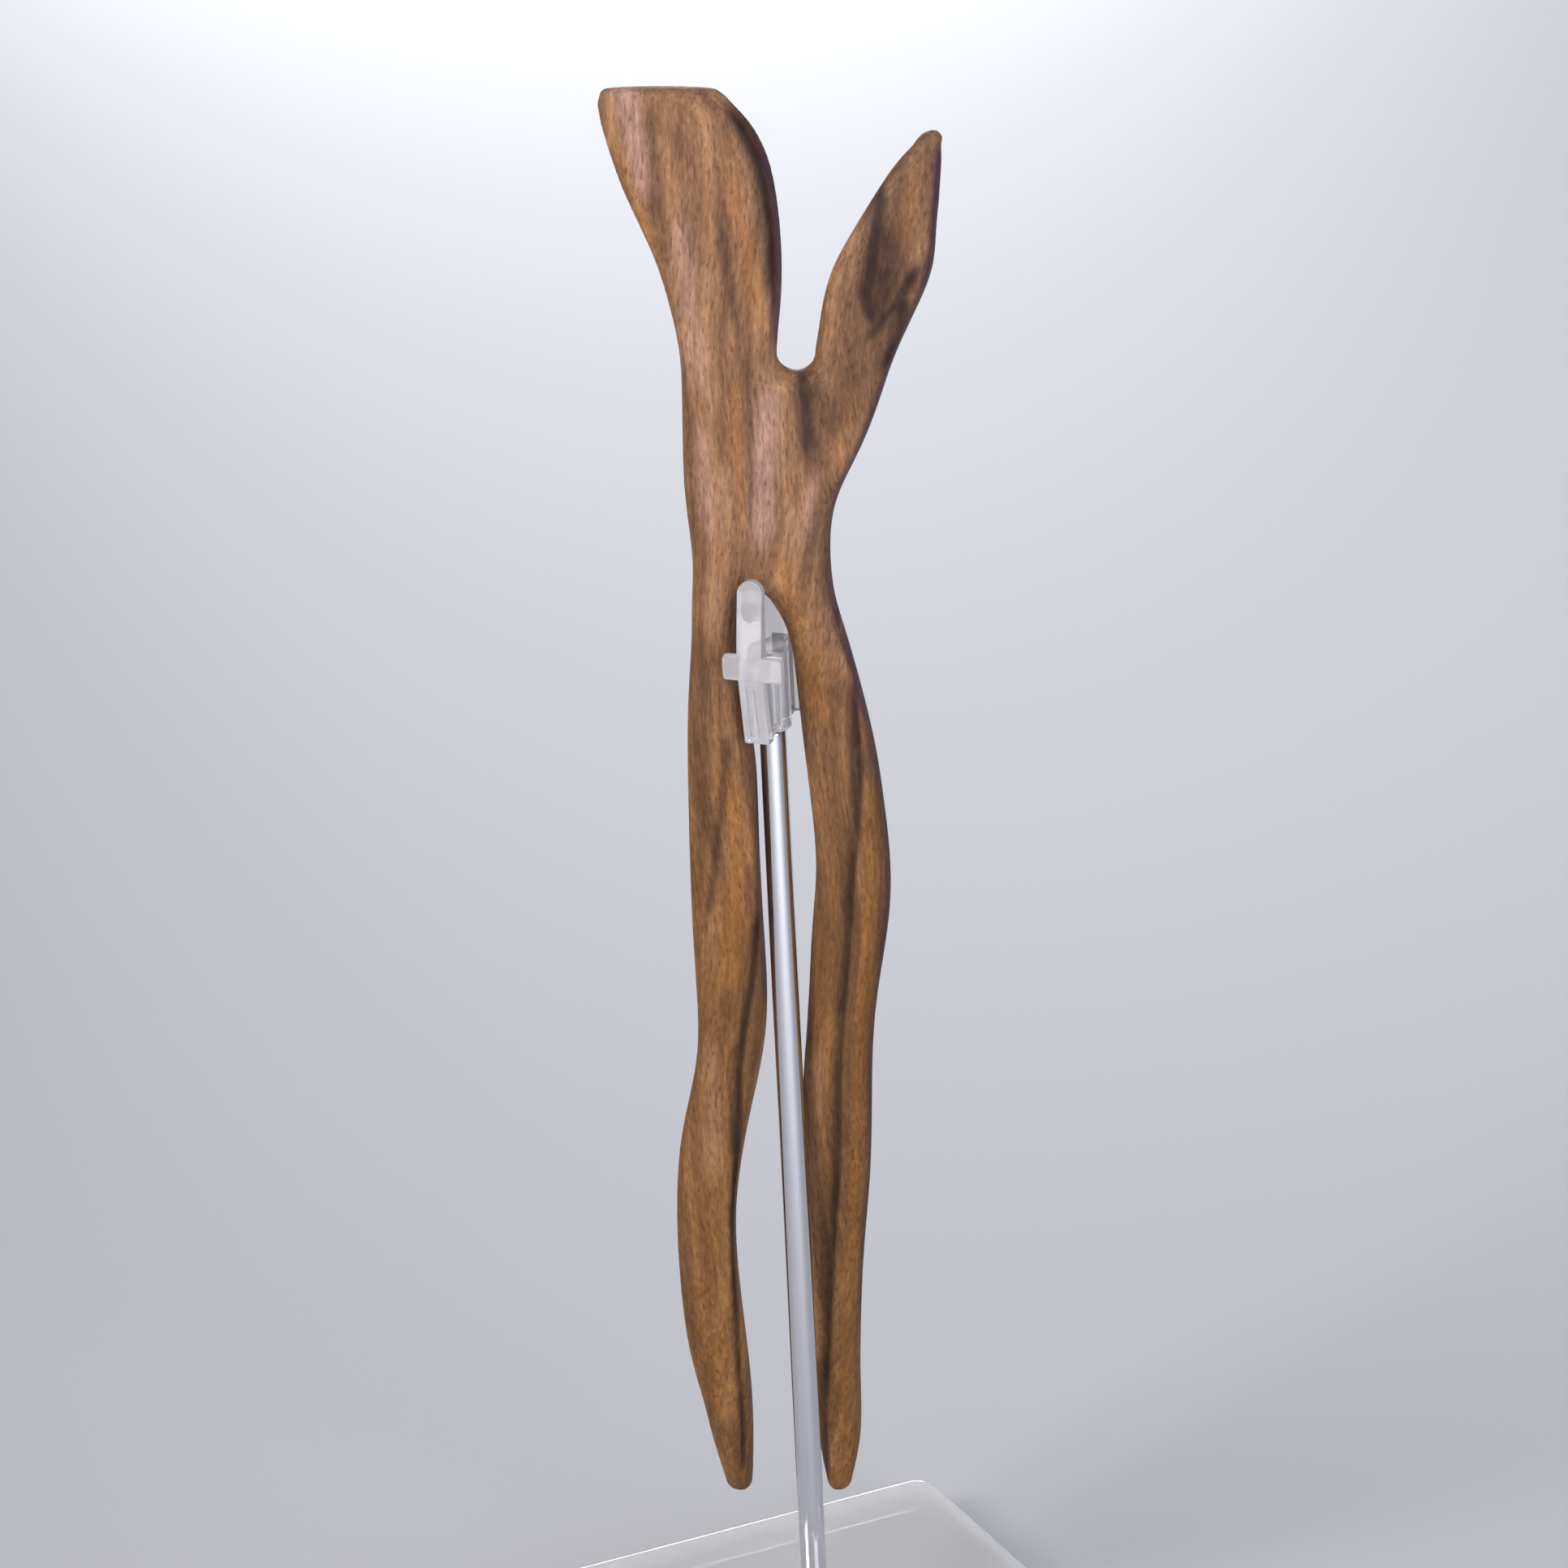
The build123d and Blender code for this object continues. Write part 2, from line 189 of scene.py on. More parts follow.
class Bench:
    """The few modelling moves that every piece is made with."""

    @staticmethod
    def clear() -> None:
        """Leave edit mode and deselect everything."""
        if bpy.context.object and bpy.context.object.mode != "OBJECT":
            bpy.ops.object.mode_set(mode="OBJECT")
        bpy.ops.object.select_all(action="DESELECT")

    @staticmethod
    def take(obj: Solid) -> None:
        """Make one object the only selected and active one.

        Args:
            obj: the object.
        """
        Bench.clear()
        obj.select_set(True)
        bpy.context.view_layer.objects.active = obj

    @staticmethod
    def start(name: str) -> Solid:
        """Name the primitive that was just added, put its place into its mesh and open it.

        Args:
            name: the object's name.

        Returns:
            The object, in edit mode.
        """
        obj = bpy.context.object
        obj.name = name
        bpy.ops.object.transform_apply()
        bpy.ops.object.mode_set(mode="EDIT")
        return obj

    @staticmethod
    def pick(obj: Solid, test: Callable[[Vector], bool]) -> None:
        """Select, in edit mode, the points of a mesh that pass a test of their place.

        Args:
            obj: the object in edit mode.
            test: takes a point's place and says whether it is wanted.
        """
        mesh = bmesh.from_edit_mesh(obj.data)
        mesh.select_mode = {"VERT"}
        for group in (mesh.faces, mesh.edges, mesh.verts):
            for item in group:
                item.select_set(False)
        for vert in mesh.verts:
            if test(vert.co):
                vert.select_set(True)
        mesh.select_flush_mode()
        bmesh.update_edit_mesh(obj.data, loop_triangles=False, destructive=False)

    @staticmethod
    def pick_edges(obj: Solid, test: Callable[[Vector, Vector], bool]) -> None:
        """Select, in edit mode, the edges of a mesh that pass a test of their two ends.

        Args:
            obj: the object in edit mode.
            test: takes the places of an edge's ends and says whether it is wanted.
        """
        bpy.ops.mesh.select_all(action="DESELECT")
        bpy.ops.mesh.select_mode(type="EDGE")
        mesh = bmesh.from_edit_mesh(obj.data)
        for edge in mesh.edges:
            if test(edge.verts[0].co, edge.verts[1].co):
                edge.select_set(True)
        mesh.select_flush_mode()
        bmesh.update_edit_mesh(obj.data, loop_triangles=False, destructive=False)

    @staticmethod
    def draw_on(step: Vector, share: Point, centre: Vector) -> None:
        """Extrude what is selected by a step, and scale the new end about a centre."""
        bpy.ops.mesh.extrude_region_move(TRANSFORM_OT_translate={"value": step})
        bpy.ops.transform.resize(value=share, center_override=centre)

    @staticmethod
    def face_out() -> None:
        """Turn all faces of the mesh in edit mode outwards, and leave edit mode."""
        bpy.ops.mesh.select_all(action="SELECT")
        bpy.ops.mesh.normals_make_consistent(inside=False)
        Bench.clear()

    @staticmethod
    def modify(obj: Solid, kind: str, **settings: object) -> None:
        """Add a modifier with its settings and apply it.

        Args:
            obj: the object to change.
            kind: the modifier's type.
            settings: values of the modifier's own properties.
        """
        Bench.take(obj)
        modifier = obj.modifiers.new(kind.title(), kind)
        for name, value in settings.items():
            setattr(modifier, name, value)
        bpy.ops.object.modifier_apply(modifier=modifier.name)

    @staticmethod
    def combine(obj: Solid, tool: Solid, way: Way) -> None:
        """Join a solid to another, or cut it from it, and delete the tool solid.

        Args:
            obj: the solid that stays.
            tool: the solid that is used up.
            way: whether it is joined or cut.
        """
        Bench.modify(obj, "BOOLEAN", operation=way.value, object=tool, solver="EXACT")
        bpy.data.objects.remove(tool, do_unlink=True)

    @staticmethod
    def settle(obj: Solid) -> None:
        """Put an object's place into its mesh, merge its doubles and turn its faces outwards.

        Args:
            obj: the object.
        """
        Bench.take(obj)
        bpy.ops.object.transform_apply()
        bpy.ops.object.mode_set(mode="EDIT")
        bpy.ops.mesh.select_all(action="SELECT")
        bpy.ops.mesh.remove_doubles(threshold=2 * NEAR)
        Bench.face_out()

    @staticmethod
    def finish(obj: Solid, name: str, slot: str, material: Finish, node: str) -> None:
        """Name and dress a piece, and tie it to the frame.

        Args:
            obj: the finished mesh object.
            name: the piece's name.
            slot: the record's material slot; not used.
            material: the finish that it wears.
            node: the CAD node that it stands for.
        """
        obj.name = name
        obj.data.name = name
        obj.data.materials.clear()
        obj.data.materials.append(material)
        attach(obj, BODY)
        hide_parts(node)
        log.info("%s: %d faces", name, len(obj.data.polygons))


class Marks(NamedTuple):
    """Marks in a material that are drawn out along Z, with their sizes in millimetres.

    detail is the octaves of finer noise, and wobble how much the marks are distorted.
    """

    width: float
    length: float
    detail: float = 0.0
    wobble: float = 0.0


class Shader:
    """A material's node tree, filled by one small function."""

    def __init__(self, name: str) -> None:
        """Start an empty material with a Principled shader and an output.

        Args:
            name: the material's name.
        """
        self.material = bpy.data.materials.new(name)
        self.material.use_nodes = True
        self.tree = self.material.node_tree
        self.tree.nodes.clear()
        output = self.tree.nodes.new("ShaderNodeOutputMaterial")
        self.skin = self.tree.nodes.new("ShaderNodeBsdfPrincipled")
        self.tree.links.new(self.skin.outputs["BSDF"], output.inputs["Surface"])

    def add(self, kind: str, inputs: dict | None = None, out: int | str = 0, **settings: object) -> Socket:
        """Add a node with its settings and links.

        Args:
            kind: the node's type, without the ShaderNode that all share.
            inputs: input name or number to a value, or to the output socket that feeds it.
            out: name or number of the output that is wanted.
            settings: values of the node's own properties.

        Returns:
            That output's socket.
        """
        node = self.tree.nodes.new("ShaderNode" + kind)
        for name, value in settings.items():
            setattr(node, name, value)
        for key, value in (inputs or {}).items():
            self.plug(node.inputs[key], value)
        return node.outputs[out]

    def plug(self, socket: Socket, value: object) -> None:
        """Link an input socket to an output socket, or set its value.

        Args:
            socket: the input.
            value: the output socket that feeds it, or a plain value.
        """
        if isinstance(value, Socket):
            self.tree.links.new(value, socket)
        else:
            socket.default_value = value

    def feed(self, **sockets: object) -> None:
        """Set or link the Principled shader's sockets, with _ for a space in a name."""
        for key, value in sockets.items():
            self.plug(self.skin.inputs[key.replace("_", " ")], value)

    def place(self) -> Socket:
        """Add the place on the piece, in millimetres."""
        place = self.add("TexCoord", out="Object")
        return self.add("VectorMath", {0: place, "Scale": 1 / MM}, operation="SCALE")

    def grain(self, place: Socket, marks: Marks) -> Socket:
        """Add a noise that is drawn out along Z.

        Args:
            place: coordinates in millimetres.
            marks: size and kind of its marks.

        Returns:
            The noise's factor.
        """
        scale = (1 / marks.width, 1 / marks.width, 1 / marks.length)
        place = self.add("Mapping", {"Vector": place, "Scale": scale})
        kind = {"Scale": 1.0, "Detail": marks.detail, "Distortion": marks.wobble}
        return self.add("TexNoise", {"Vector": place, **kind}, "Fac")


class FigureAndLight(Enum):
    """Marks that follow the carving, each a layer of values on the mesh: dark figure that is partly painted
    shade, golden wood, a painted pinkish sheen and painted shade on right-hand edges.
    """

    DARK = "dark_figure_and_painted_shade"
    GOLD = "gold_figure"
    BLUSH = "painted_sheen"
    RIM = "painted_edge_shade"


@dataclass(frozen=True)
class Streak:
    """A band of colour along the grain, drawn through a few given places.

    path holds (up, across) in shares of the fork's length and of its head's spread. The band
    fades over left and right millimetres on its two sides.
    """

    left: float
    right: float
    strength: float
    path: tuple[tuple[float, float], ...]


@dataclass(frozen=True)
class OiledWalnut:
    """Walnut, carved, sanded and oiled.

    The oil is soaked in, so the eye sees a warm brown with a low, broad sheen and no sharp
    highlight, crossed by long fibres, short dark pores and dark streaks. Layers on the mesh add
    painted shade along the right-hand edges, some crests and the valley under the notch, and a
    painted pinkish sheen on faces turned up and left. A pair whose name ends in at gives the
    values of a noise between which one tone fades into the next, and the pair of heights in
    millimetres is where the wood turns darker and more golden towards the bottom.
    """

    dark: str = "#775740"
    mid: str = "#906B4E"
    light: str = "#A8805E"
    pore: str = "#2E1B14"
    figure_and_light_tones: tuple[tuple[FigureAndLight, str], ...] = (
        (FigureAndLight.GOLD, "#A47546"),
        # painted sheen: a pinkish highlight tone
        (FigureAndLight.BLUSH, "#B69183"),
        # dark figure, and painted shade on bevels, crests and the valley under the notch
        (FigureAndLight.DARK, "#34221A"),
        # painted shade on the right-hand edges
        (FigureAndLight.RIM, "#553B45"),
    )
    # multiplied in lower down: the wood turns darker and more golden towards the bottom
    lower_tone: tuple[float, ...] = (0.79, 0.71, 0.48, 1.0)
    fibre_shades: tuple[tuple[float, ...], ...] = ((0.80, 0.78, 0.76, 1.0), (1.12, 1.11, 1.10, 1.0))
    fleck_shades: tuple[tuple[float, ...], ...] = ((0.83, 0.81, 0.79, 1.0), (1.15, 1.15, 1.15, 1.0))
    figure_marks: Marks = Marks(2.4, 60.0, 4.0, 0.4)
    fibre_marks: Marks = Marks(0.5, 9.0, 3.0)
    mottle_marks: Marks = Marks(3.2, 7.0, 3.0, 0.6)
    fleck_marks: Marks = Marks(0.32, 1.2, 3.0, 0.3)
    pore_marks: Marks = Marks(0.20, 1.1)
    mid_at: tuple[float, float] = (0.36, 0.60)
    light_at: tuple[float, float] = (0.52, 0.74)
    fibre_at: tuple[float, float] = (0.30, 0.72)
    fleck_at: tuple[float, float] = (0.35, 0.70)
    pore_at: tuple[float, float] = (0.62, 0.74)
    lower_tone_at: tuple[float, float] = (146.0, 84.0)
    pore_depth: float = 0.36
    drift: float = 7.0
    drifts_per_mm: float = 0.03
    mottle_share: float = 0.9
    mottle_least: float = 0.55
    roughness: tuple[float, float] = (0.50, 0.64)
    fibre_height: float = 0.5
    relief: float = 0.06
    relief_strength: float = 0.35
    ior: float = 1.47
    gloss: float = 0.26

    def build(self) -> Finish:
        """Build the material.

        Returns:
            The finished walnut.
        """
        shader = Shader("oiled_walnut")
        place = shader.place()
        level = shader.add("SeparateXYZ", {0: place}, "Z")
        bend = shader.add("TexNoise", {"Vector": place, "Scale": self.drifts_per_mm, "Detail": 0.0}, "Color")
        bend = shader.add("VectorMath", {0: bend, 1: (0.5, 0.5, 0.5)}, operation="SUBTRACT")
        reach = (self.drift, self.drift, 0.0)
        place = shader.add("VectorMath", {0: bend, 1: reach, 2: place}, operation="MULTIPLY_ADD")

        figure, fibre, mottle, fleck, pores = [
            shader.grain(place, marks)
            for marks in (self.figure_marks, self.fibre_marks, self.mottle_marks, self.fleck_marks,
                          self.pore_marks)
        ]
        fades = (
            (figure, self.mid_at), (figure, self.light_at), (level, self.lower_tone_at),
            (fibre, self.fibre_at), (fleck, self.fleck_at), (pores, self.pore_at),
        )
        mids, lights, lower_tones, fibres, flecks, holes = [
            shader.add("MapRange", {"Value": value, "From Min": low, "From Max": high},
                       interpolation_type="SMOOTHSTEP")
            for value, (low, high) in fades
        ]

        coats = [(mids, linear(self.mid), "MIX"), (lights, linear(self.light), "MIX")]
        broken = shader.add("Math", {0: mottle, 1: self.mottle_share, 2: self.mottle_least},
                            operation="MULTIPLY_ADD")
        # the mesh layers lay dark figure and golden wood, and also painted shade and a painted pinkish
        # sheen, into the colour
        for layer, colour in self.figure_and_light_tones:
            mark = shader.add("Attribute", out="Fac", attribute_name=layer.value)
            mark = shader.add("Math", {0: mark, 1: broken}, operation="MULTIPLY", use_clamp=True)
            coats.append((mark, linear(colour), "MIX"))
        coats.append((lower_tones, self.lower_tone, "MULTIPLY"))
        for share, (dark, light) in ((fibres, self.fibre_shades), (flecks, self.fleck_shades)):
            shade = shader.add("Mix", {0: share, 6: dark, 7: light}, 2, data_type="RGBA")
            coats.append((1.0, shade, "MULTIPLY"))
        deep = shader.add("Math", {0: holes, 1: self.pore_depth}, operation="MULTIPLY")
        coats.append((deep, linear(self.pore), "MIX"))
        tone = linear(self.dark)
        for share, colour, way in coats:
            tone = shader.add("Mix", {0: share, 6: tone, 7: colour}, 2, data_type="RGBA", blend_type=way)

        low, high = self.roughness
        rough = shader.add("MapRange", {"Value": fibre, "To Min": low, "To Max": high})
        height = shader.add("Math", {0: fibre, 1: self.fibre_height}, operation="MULTIPLY")
        height = shader.add("Math", {0: height, 1: holes}, operation="SUBTRACT")
        relief = {"Strength": self.relief_strength, "Distance": self.relief * MM}
        bump = shader.add("Bump", {"Height": height, **relief})
        shader.feed(Base_Color=tone, Roughness=rough, Normal=bump)
        shader.feed(IOR=self.ior, Specular_IOR_Level=self.gloss)
        return shader.material


@dataclass(frozen=True)
class ClearPlastic:
    """Clear plastic, cast and polished or injection moulded.

    The eye sees bright and dark lines at its edges, where light bends or mirrors inside. Scuffs
    and many inner reflections add a little milky white, which haze and clearness stand for.
    """

    name: str
    tint: str
    roughness: float
    haze: float
    clearness: float
    haze_size: float = 1.5
    haze_at: tuple[float, float] = (0.3, 0.8)
    relief: float = 0.02
    relief_strength: float = 0.10
    edge_layer: str = ""
    edge_roughness: float = 0.9
    edge_clearness: float = 0.5
    ior: float = 1.49

    def build(self) -> Finish:
        """Build the material.

        Returns:
            The finished clear plastic.
        """
        shader = Shader(self.name)
        place = shader.place()
        haze = shader.add("TexNoise", {"Vector": place, "Scale": 1 / self.haze_size, "Detail": 3.0}, "Fac")
        low, high = self.haze_at
        rough = shader.add("MapRange", {"Value": haze, "From Min": low, "From Max": high,
                                        "To Min": self.roughness, "To Max": self.roughness + self.haze})
        relief = {"Strength": self.relief_strength, "Distance": self.relief * MM}
        bump = shader.add("Bump", {"Height": haze, **relief})
        clear = self.clearness
        if self.edge_layer:
            # the sawn sides are left matt, so the eye sees them as bright white bands
            sawn = shader.add("Attribute", out="Fac", attribute_name=self.edge_layer)
            rough = shader.add("MapRange", {"Value": sawn, "To Min": rough, "To Max": self.edge_roughness})
            clear = shader.add("MapRange", {"Value": sawn, "To Min": clear, "To Max": self.edge_clearness})
        shader.feed(Base_Color=linear(self.tint), Roughness=rough, Normal=bump)
        shader.feed(IOR=self.ior, Transmission_Weight=clear)
        return shader.material


@dataclass(frozen=True)
class PolishedSteel:
    """Steel rod, ground and polished bright, with faint drawing lines along it.

    The eye sees narrow bright and dark stripes down the rod: the floor and the wood, mirrored.
    """

    tint: str = "#D8D9DE"
    line_marks: Marks = Marks(0.12, 40.0, 2.0)
    roughness: tuple[float, float] = (0.03, 0.12)

    def build(self) -> Finish:
        """Build the material.

        Returns:
            The finished steel.
        """
        shader = Shader("polished_steel")
        lines = shader.grain(shader.place(), self.line_marks)
        low, high = self.roughness
        rough = shader.add("MapRange", {"Value": lines, "To Min": low, "To Max": high})
        shader.feed(Base_Color=linear(self.tint), Metallic=1.0, Roughness=rough)
        return shader.material


@dataclass(frozen=True)
class PaleSweep:
    """Matt grey-white board under and behind the object: an even pale tone without a highlight."""

    tint: str = "#A9AAB0"
    roughness: float = 0.7

    def build(self) -> Finish:
        """Build the material.

        Returns:
            The finished board.
        """
        shader = Shader("pale_sweep")
        shader.feed(Base_Color=linear(self.tint), Roughness=self.roughness)
        return shader.material


class Gap(NamedTuple):
    """A round-ended gap between two limbs.

    up and across are its round end's place, in shares of the fork's length and of its head's
    spread. radius is half its width and flare how far it widens at the front and the back of the
    wood, in millimetres. way is 1 if it opens upwards, -1 downwards.
    """

    up: float
    across: float
    radius: float
    flare: float
    way: int


@dataclass
class HairFork:
    """The carved fork: two limbs drawn up ring by ring, joined at the waist, then carved smooth."""

    material: Finish
    streaks: dict[FigureAndLight, list[Streak]]
    length: float = 163.0
    head_spread: float = 34.4
    limb_width: float = 8.0
    thickness: float = 5.2
    bow_depth: float = 4.6
    lean: float = 7.6
    ahead: float = 0.4
    middle: float = -5.201
    tips: float = 21.1
    prong_tip: float = 1.42
    leaf_tip: float = 1.55
    leaf_tip_aside: float = 0.018
    tip_angles: tuple[float, ...] = (25.0, 50.0, 72.0, 86.0)
    notch: Gap = Gap(0.8190, 0.078, 1.92, 2.2, 1)
    crotch: Gap = Gap(0.6770, -0.052, 1.55, 0.9, -1)
    gap_sides: int = 48
    gap_steps: int = 17
    gap_reach: float = 2.0
    gap_stretch: float = 0.3
    ring_points: int = 16
    crest_column: int = 13
    back_fullness: float = 2.2
    subdivisions: int = 2
    grain: float = 0.30
    smoothing: float = 0.5
    smooth_rounds: int = 5
    streak_fade: float = 0.02

    def x(self, across: float) -> float:
        """X of a share across the head, in millimetres."""
        return self.middle + across * self.head_spread

    def z(self, up: float) -> float:
        """Z of a share up the fork, in millimetres."""
        return self.tips + up * self.length

    def y(self, up: float) -> float:
        """Y of the middle of the wood.

        Args:
            up: share up the fork.

        Returns:
            Millimetres, with the front negative.
        """
        lean = self.lean * (self.crotch.up - up)
        bow = self.bow_depth * ((2 * up - 1) ** 2 - (2 * self.crotch.up - 1) ** 2)
        return lean + bow - self.ahead

    def ring(self, row: Row) -> list[Vector]:
        """Work out one ring of a limb.

        Args:
            row: the section.

        Returns:
            Its points in metres, anticlockwise from the right edge, seen from above.
        """
        half_width = row.wide * self.limb_width / 2
        half_depth = row.thick * self.thickness / 2
        half = self.ring_points // 2
        back_power = 2 / self.back_fullness
        points = []
        for i in range(self.ring_points):
            if i <= half:
                angle = math.pi * i / half
                side = math.copysign(abs(math.cos(angle)) ** back_power, math.cos(angle))
                deep = abs(math.sin(angle)) ** back_power
            elif i <= self.crest_column:
                turn = (i - half) / (self.crest_column - half) * math.pi / 2
                side = row.crest - (1 + row.crest) * math.cos(turn)
                deep = -math.sin(turn) ** (2 / row.left)
            else:
                turn = (self.ring_points - i) / (self.ring_points - self.crest_column) * math.pi / 2
                side = row.crest + (1 - row.crest) * math.cos(turn)
                deep = -math.sin(turn) ** (2 / row.right)
            across = self.x(row.across) + side * half_width
            points.append(metres(across, self.y(row.up) + deep * half_depth, self.z(row.up)))
        return points

    def tip_rows(self, row: Row, radius: float, way: int, aside: float = 0.0) -> list[Row]:
        """Rows that close a limb with a round tip beyond its last one.

        Args:
            row: the limb's end row.
            radius: how far the tip stands out, in millimetres.
            way: 1 for a tip above, -1 for one below.
            aside: how far the very tip lies to the right, as a share of the head's spread.

        Returns:
            Rows that shrink towards the tip.
        """
        rows = []
        for angle in self.tip_angles:
            share = math.cos(math.radians(angle))
            rise = math.sin(math.radians(angle))
            up = row.up + way * rise * radius / self.length
            across = row.across + rise * aside
            rows.append(row._replace(up=up, across=across, wide=row.wide * share, thick=row.thick * share))
        return rows

    @staticmethod
    def cage(rings: Sequence[Sequence[Vector]]) -> list[list[Vector]]:
        """Move rings out so that a subdivision surface over them runs through their old places.

        Args:
            rings: the wanted rings, from the lowest up.

        Returns:
            The rings of its cage, at the same levels.
        """
        wanted = np.array([[tuple(point) for point in ring] for ring in rings])
        beside = (np.roll(wanted, 1, axis=1) + np.roll(wanted, -1, axis=1)) / 2
        cage = wanted + (wanted - beside) / 3
        level = wanted[:, 0, 2]
        share = (level[1:-1] - level[:-2]) / (level[2:] - level[:-2])
        between = wanted[:-2] + (wanted[2:] - wanted[:-2]) * share[:, None, None]
        cage[1:-1] += (wanted[1:-1] - between) / 3
        return [[Vector(point) for point in ring] for ring in cage]

    def draw_limb(self, name: str, rows: Sequence[Row]) -> Solid:
        """Draw a limb upwards from a ring at its foot, ring by ring, and close both ends.

        Args:
            name: the limb's name.
            rows: its sections from the lowest up.

        Returns:
            A closed, smooth solid.
        """
        Bench.clear()
        rings = self.cage([self.ring(row) for row in rows])
        centre = sum(rings[0], Vector()) / len(rings[0])
        bpy.ops.mesh.primitive_circle_add(vertices=self.ring_points, radius=MM, location=centre)
        limb = Bench.start(name)
        level = centre.z
        for number, ring in enumerate(rings):
            if number:
                step = ring[0].z - level
                Bench.pick(limb, lambda place, z=level: abs(place.z - z) < NEAR)
                bpy.ops.mesh.extrude_region_move(TRANSFORM_OT_translate={"value": (0, 0, step)})
                level = ring[0].z
            self.shape_ring(limb, ring, level)
        for end in (rings[0][0].z, level):
            Bench.pick(limb, lambda place, z=end: abs(place.z - z) < NEAR)
            bpy.ops.mesh.edge_face_add()
        Bench.face_out()
        Bench.modify(limb, "SUBSURF", levels=self.subdivisions, render_levels=self.subdivisions)
        return limb

    def shape_ring(self, limb: Solid, ring: Sequence[Vector], level: float) -> None:
        """Pull the points of one level ring, one by one, to their places on a section.

        Args:
            limb: the limb in edit mode.
            ring: the places, anticlockwise from the right edge.
            level: the ring's height in metres.
        """
        mesh = bmesh.from_edit_mesh(limb.data)
        verts = [vert for vert in mesh.verts if abs(vert.co.z - level) < NEAR]
        centre = sum((vert.co for vert in verts), Vector()) / len(verts)
        right = Vector((1, 0, 0))
        verts.sort(key=lambda vert: math.atan2(vert.co.y - centre.y, vert.co.x - centre.x) % math.tau)
        start = min(range(len(verts)), key=lambda i: (verts[i].co - centre).normalized().angle(right))
        bpy.ops.mesh.select_mode(type="VERT")
        for vert, place in zip(verts[start:] + verts[:start], ring):
            bpy.ops.mesh.select_all(action="DESELECT")
            vert.select_set(True)
            bpy.ops.transform.translate(value=place - vert.co)

    def gap_bar(self, gap: Gap) -> Solid:
        """Draw the round-ended bar that cuts a gap between two limbs, and rounds the gap's edges.

        Args:
            gap: the gap.

        Returns:
            The cutting bar, widest at its two ends.
        """
        Bench.clear()
        centre = metres(self.x(gap.across), self.y(gap.up), self.z(gap.up) + gap.way * gap.radius)
        half = self.thickness / 2
        step, wide = -self.gap_reach, gap.radius + gap.flare
        bpy.ops.mesh.primitive_circle_add(
            vertices=self.gap_sides, radius=wide * MM, fill_type="NGON", rotation=(math.pi / 2, 0, 0),
            location=centre + metres(0, step * half, 0),
        )
        bar = Bench.start("gap_bar")
        for next_step in np.linspace(-1, 1, self.gap_steps).tolist() + [self.gap_reach]:
            next_wide = gap.radius + gap.flare * (1 - math.sqrt(1 - min(abs(next_step), 1.0) ** 2))
            share = next_wide / wide
            end = centre + metres(0, next_step * half, 0)
            Bench.draw_on(metres(0, (next_step - step) * half, 0), (share, 1, share), end)
            step, wide = next_step, next_wide
        Bench.pick(bar, lambda point: gap.way * (point.z - centre.z) > NEAR)
        bpy.ops.transform.translate(value=metres(0, 0, gap.way * self.gap_stretch * gap.radius))
        Bench.face_out()
        return bar

    def paint(self, wood: Solid) -> None:
        """Lay the streaks along the carving as layers of values on the mesh.

        Args:
            wood: the finished fork.
        """
        mesh = wood.data
        places = np.empty(len(mesh.vertices) * 3)
        mesh.vertices.foreach_get("co", places)
        places = places.reshape(-1, 3) / MM
        up = (places[:, 2] - self.tips) / self.length
        # the layers hold dark figure and golden wood, and also painted shade and a painted sheen
        for figure, streaks in self.streaks.items():
            value = np.zeros(len(up))
            for streak in streaks:
                levels, shares = zip(*sorted(streak.path))
                line = self.middle + np.interp(up, levels, shares) * self.head_spread
                side = places[:, 0] - line
                fade = np.where(side < 0, -side / streak.left, side / streak.right)
                ends = np.minimum(up - levels[0], levels[-1] - up) / self.streak_fade
                mark = np.clip(1 - fade, 0, 1) * np.clip(ends, 0, 1)
                value = np.maximum(value, streak.strength * mark * mark * (3 - 2 * mark))
            layer = mesh.attributes.new(name=figure.value, type="FLOAT", domain="POINT")
            layer.data.foreach_set("value", value)

    def build(self) -> None:
        """Model the fork, smooth it and dress it."""
        left_tip = self.tip_rows(LEFT_LIMB[0], self.prong_tip, -1)[::-1]
        right_tip = self.tip_rows(RIGHT_LIMB[0], self.prong_tip, -1)[::-1]
        leaf = self.tip_rows(RIGHT_LIMB[-1], self.leaf_tip, 1, self.leaf_tip_aside)
        wood = self.draw_limb("left_limb", [*left_tip, *LEFT_LIMB])
        Bench.combine(wood, self.draw_limb("right_limb", [*right_tip, *RIGHT_LIMB, *leaf]), Way.JOIN)
        Bench.combine(wood, self.draw_limb("waist", WAIST), Way.JOIN)
        Bench.combine(wood, self.gap_bar(self.notch), Way.CUT)
        Bench.combine(wood, self.gap_bar(self.crotch), Way.CUT)
        Bench.modify(wood, "REMESH", mode="VOXEL", voxel_size=self.grain * MM, use_smooth_shade=True)
        Bench.modify(wood, "SMOOTH", factor=self.smoothing, iterations=self.smooth_rounds)
        self.paint(wood)
        Bench.take(wood)
        bpy.ops.object.shade_smooth()
        Bench.finish(wood, "carved_fork", "walnut", self.material, "hair_fork")


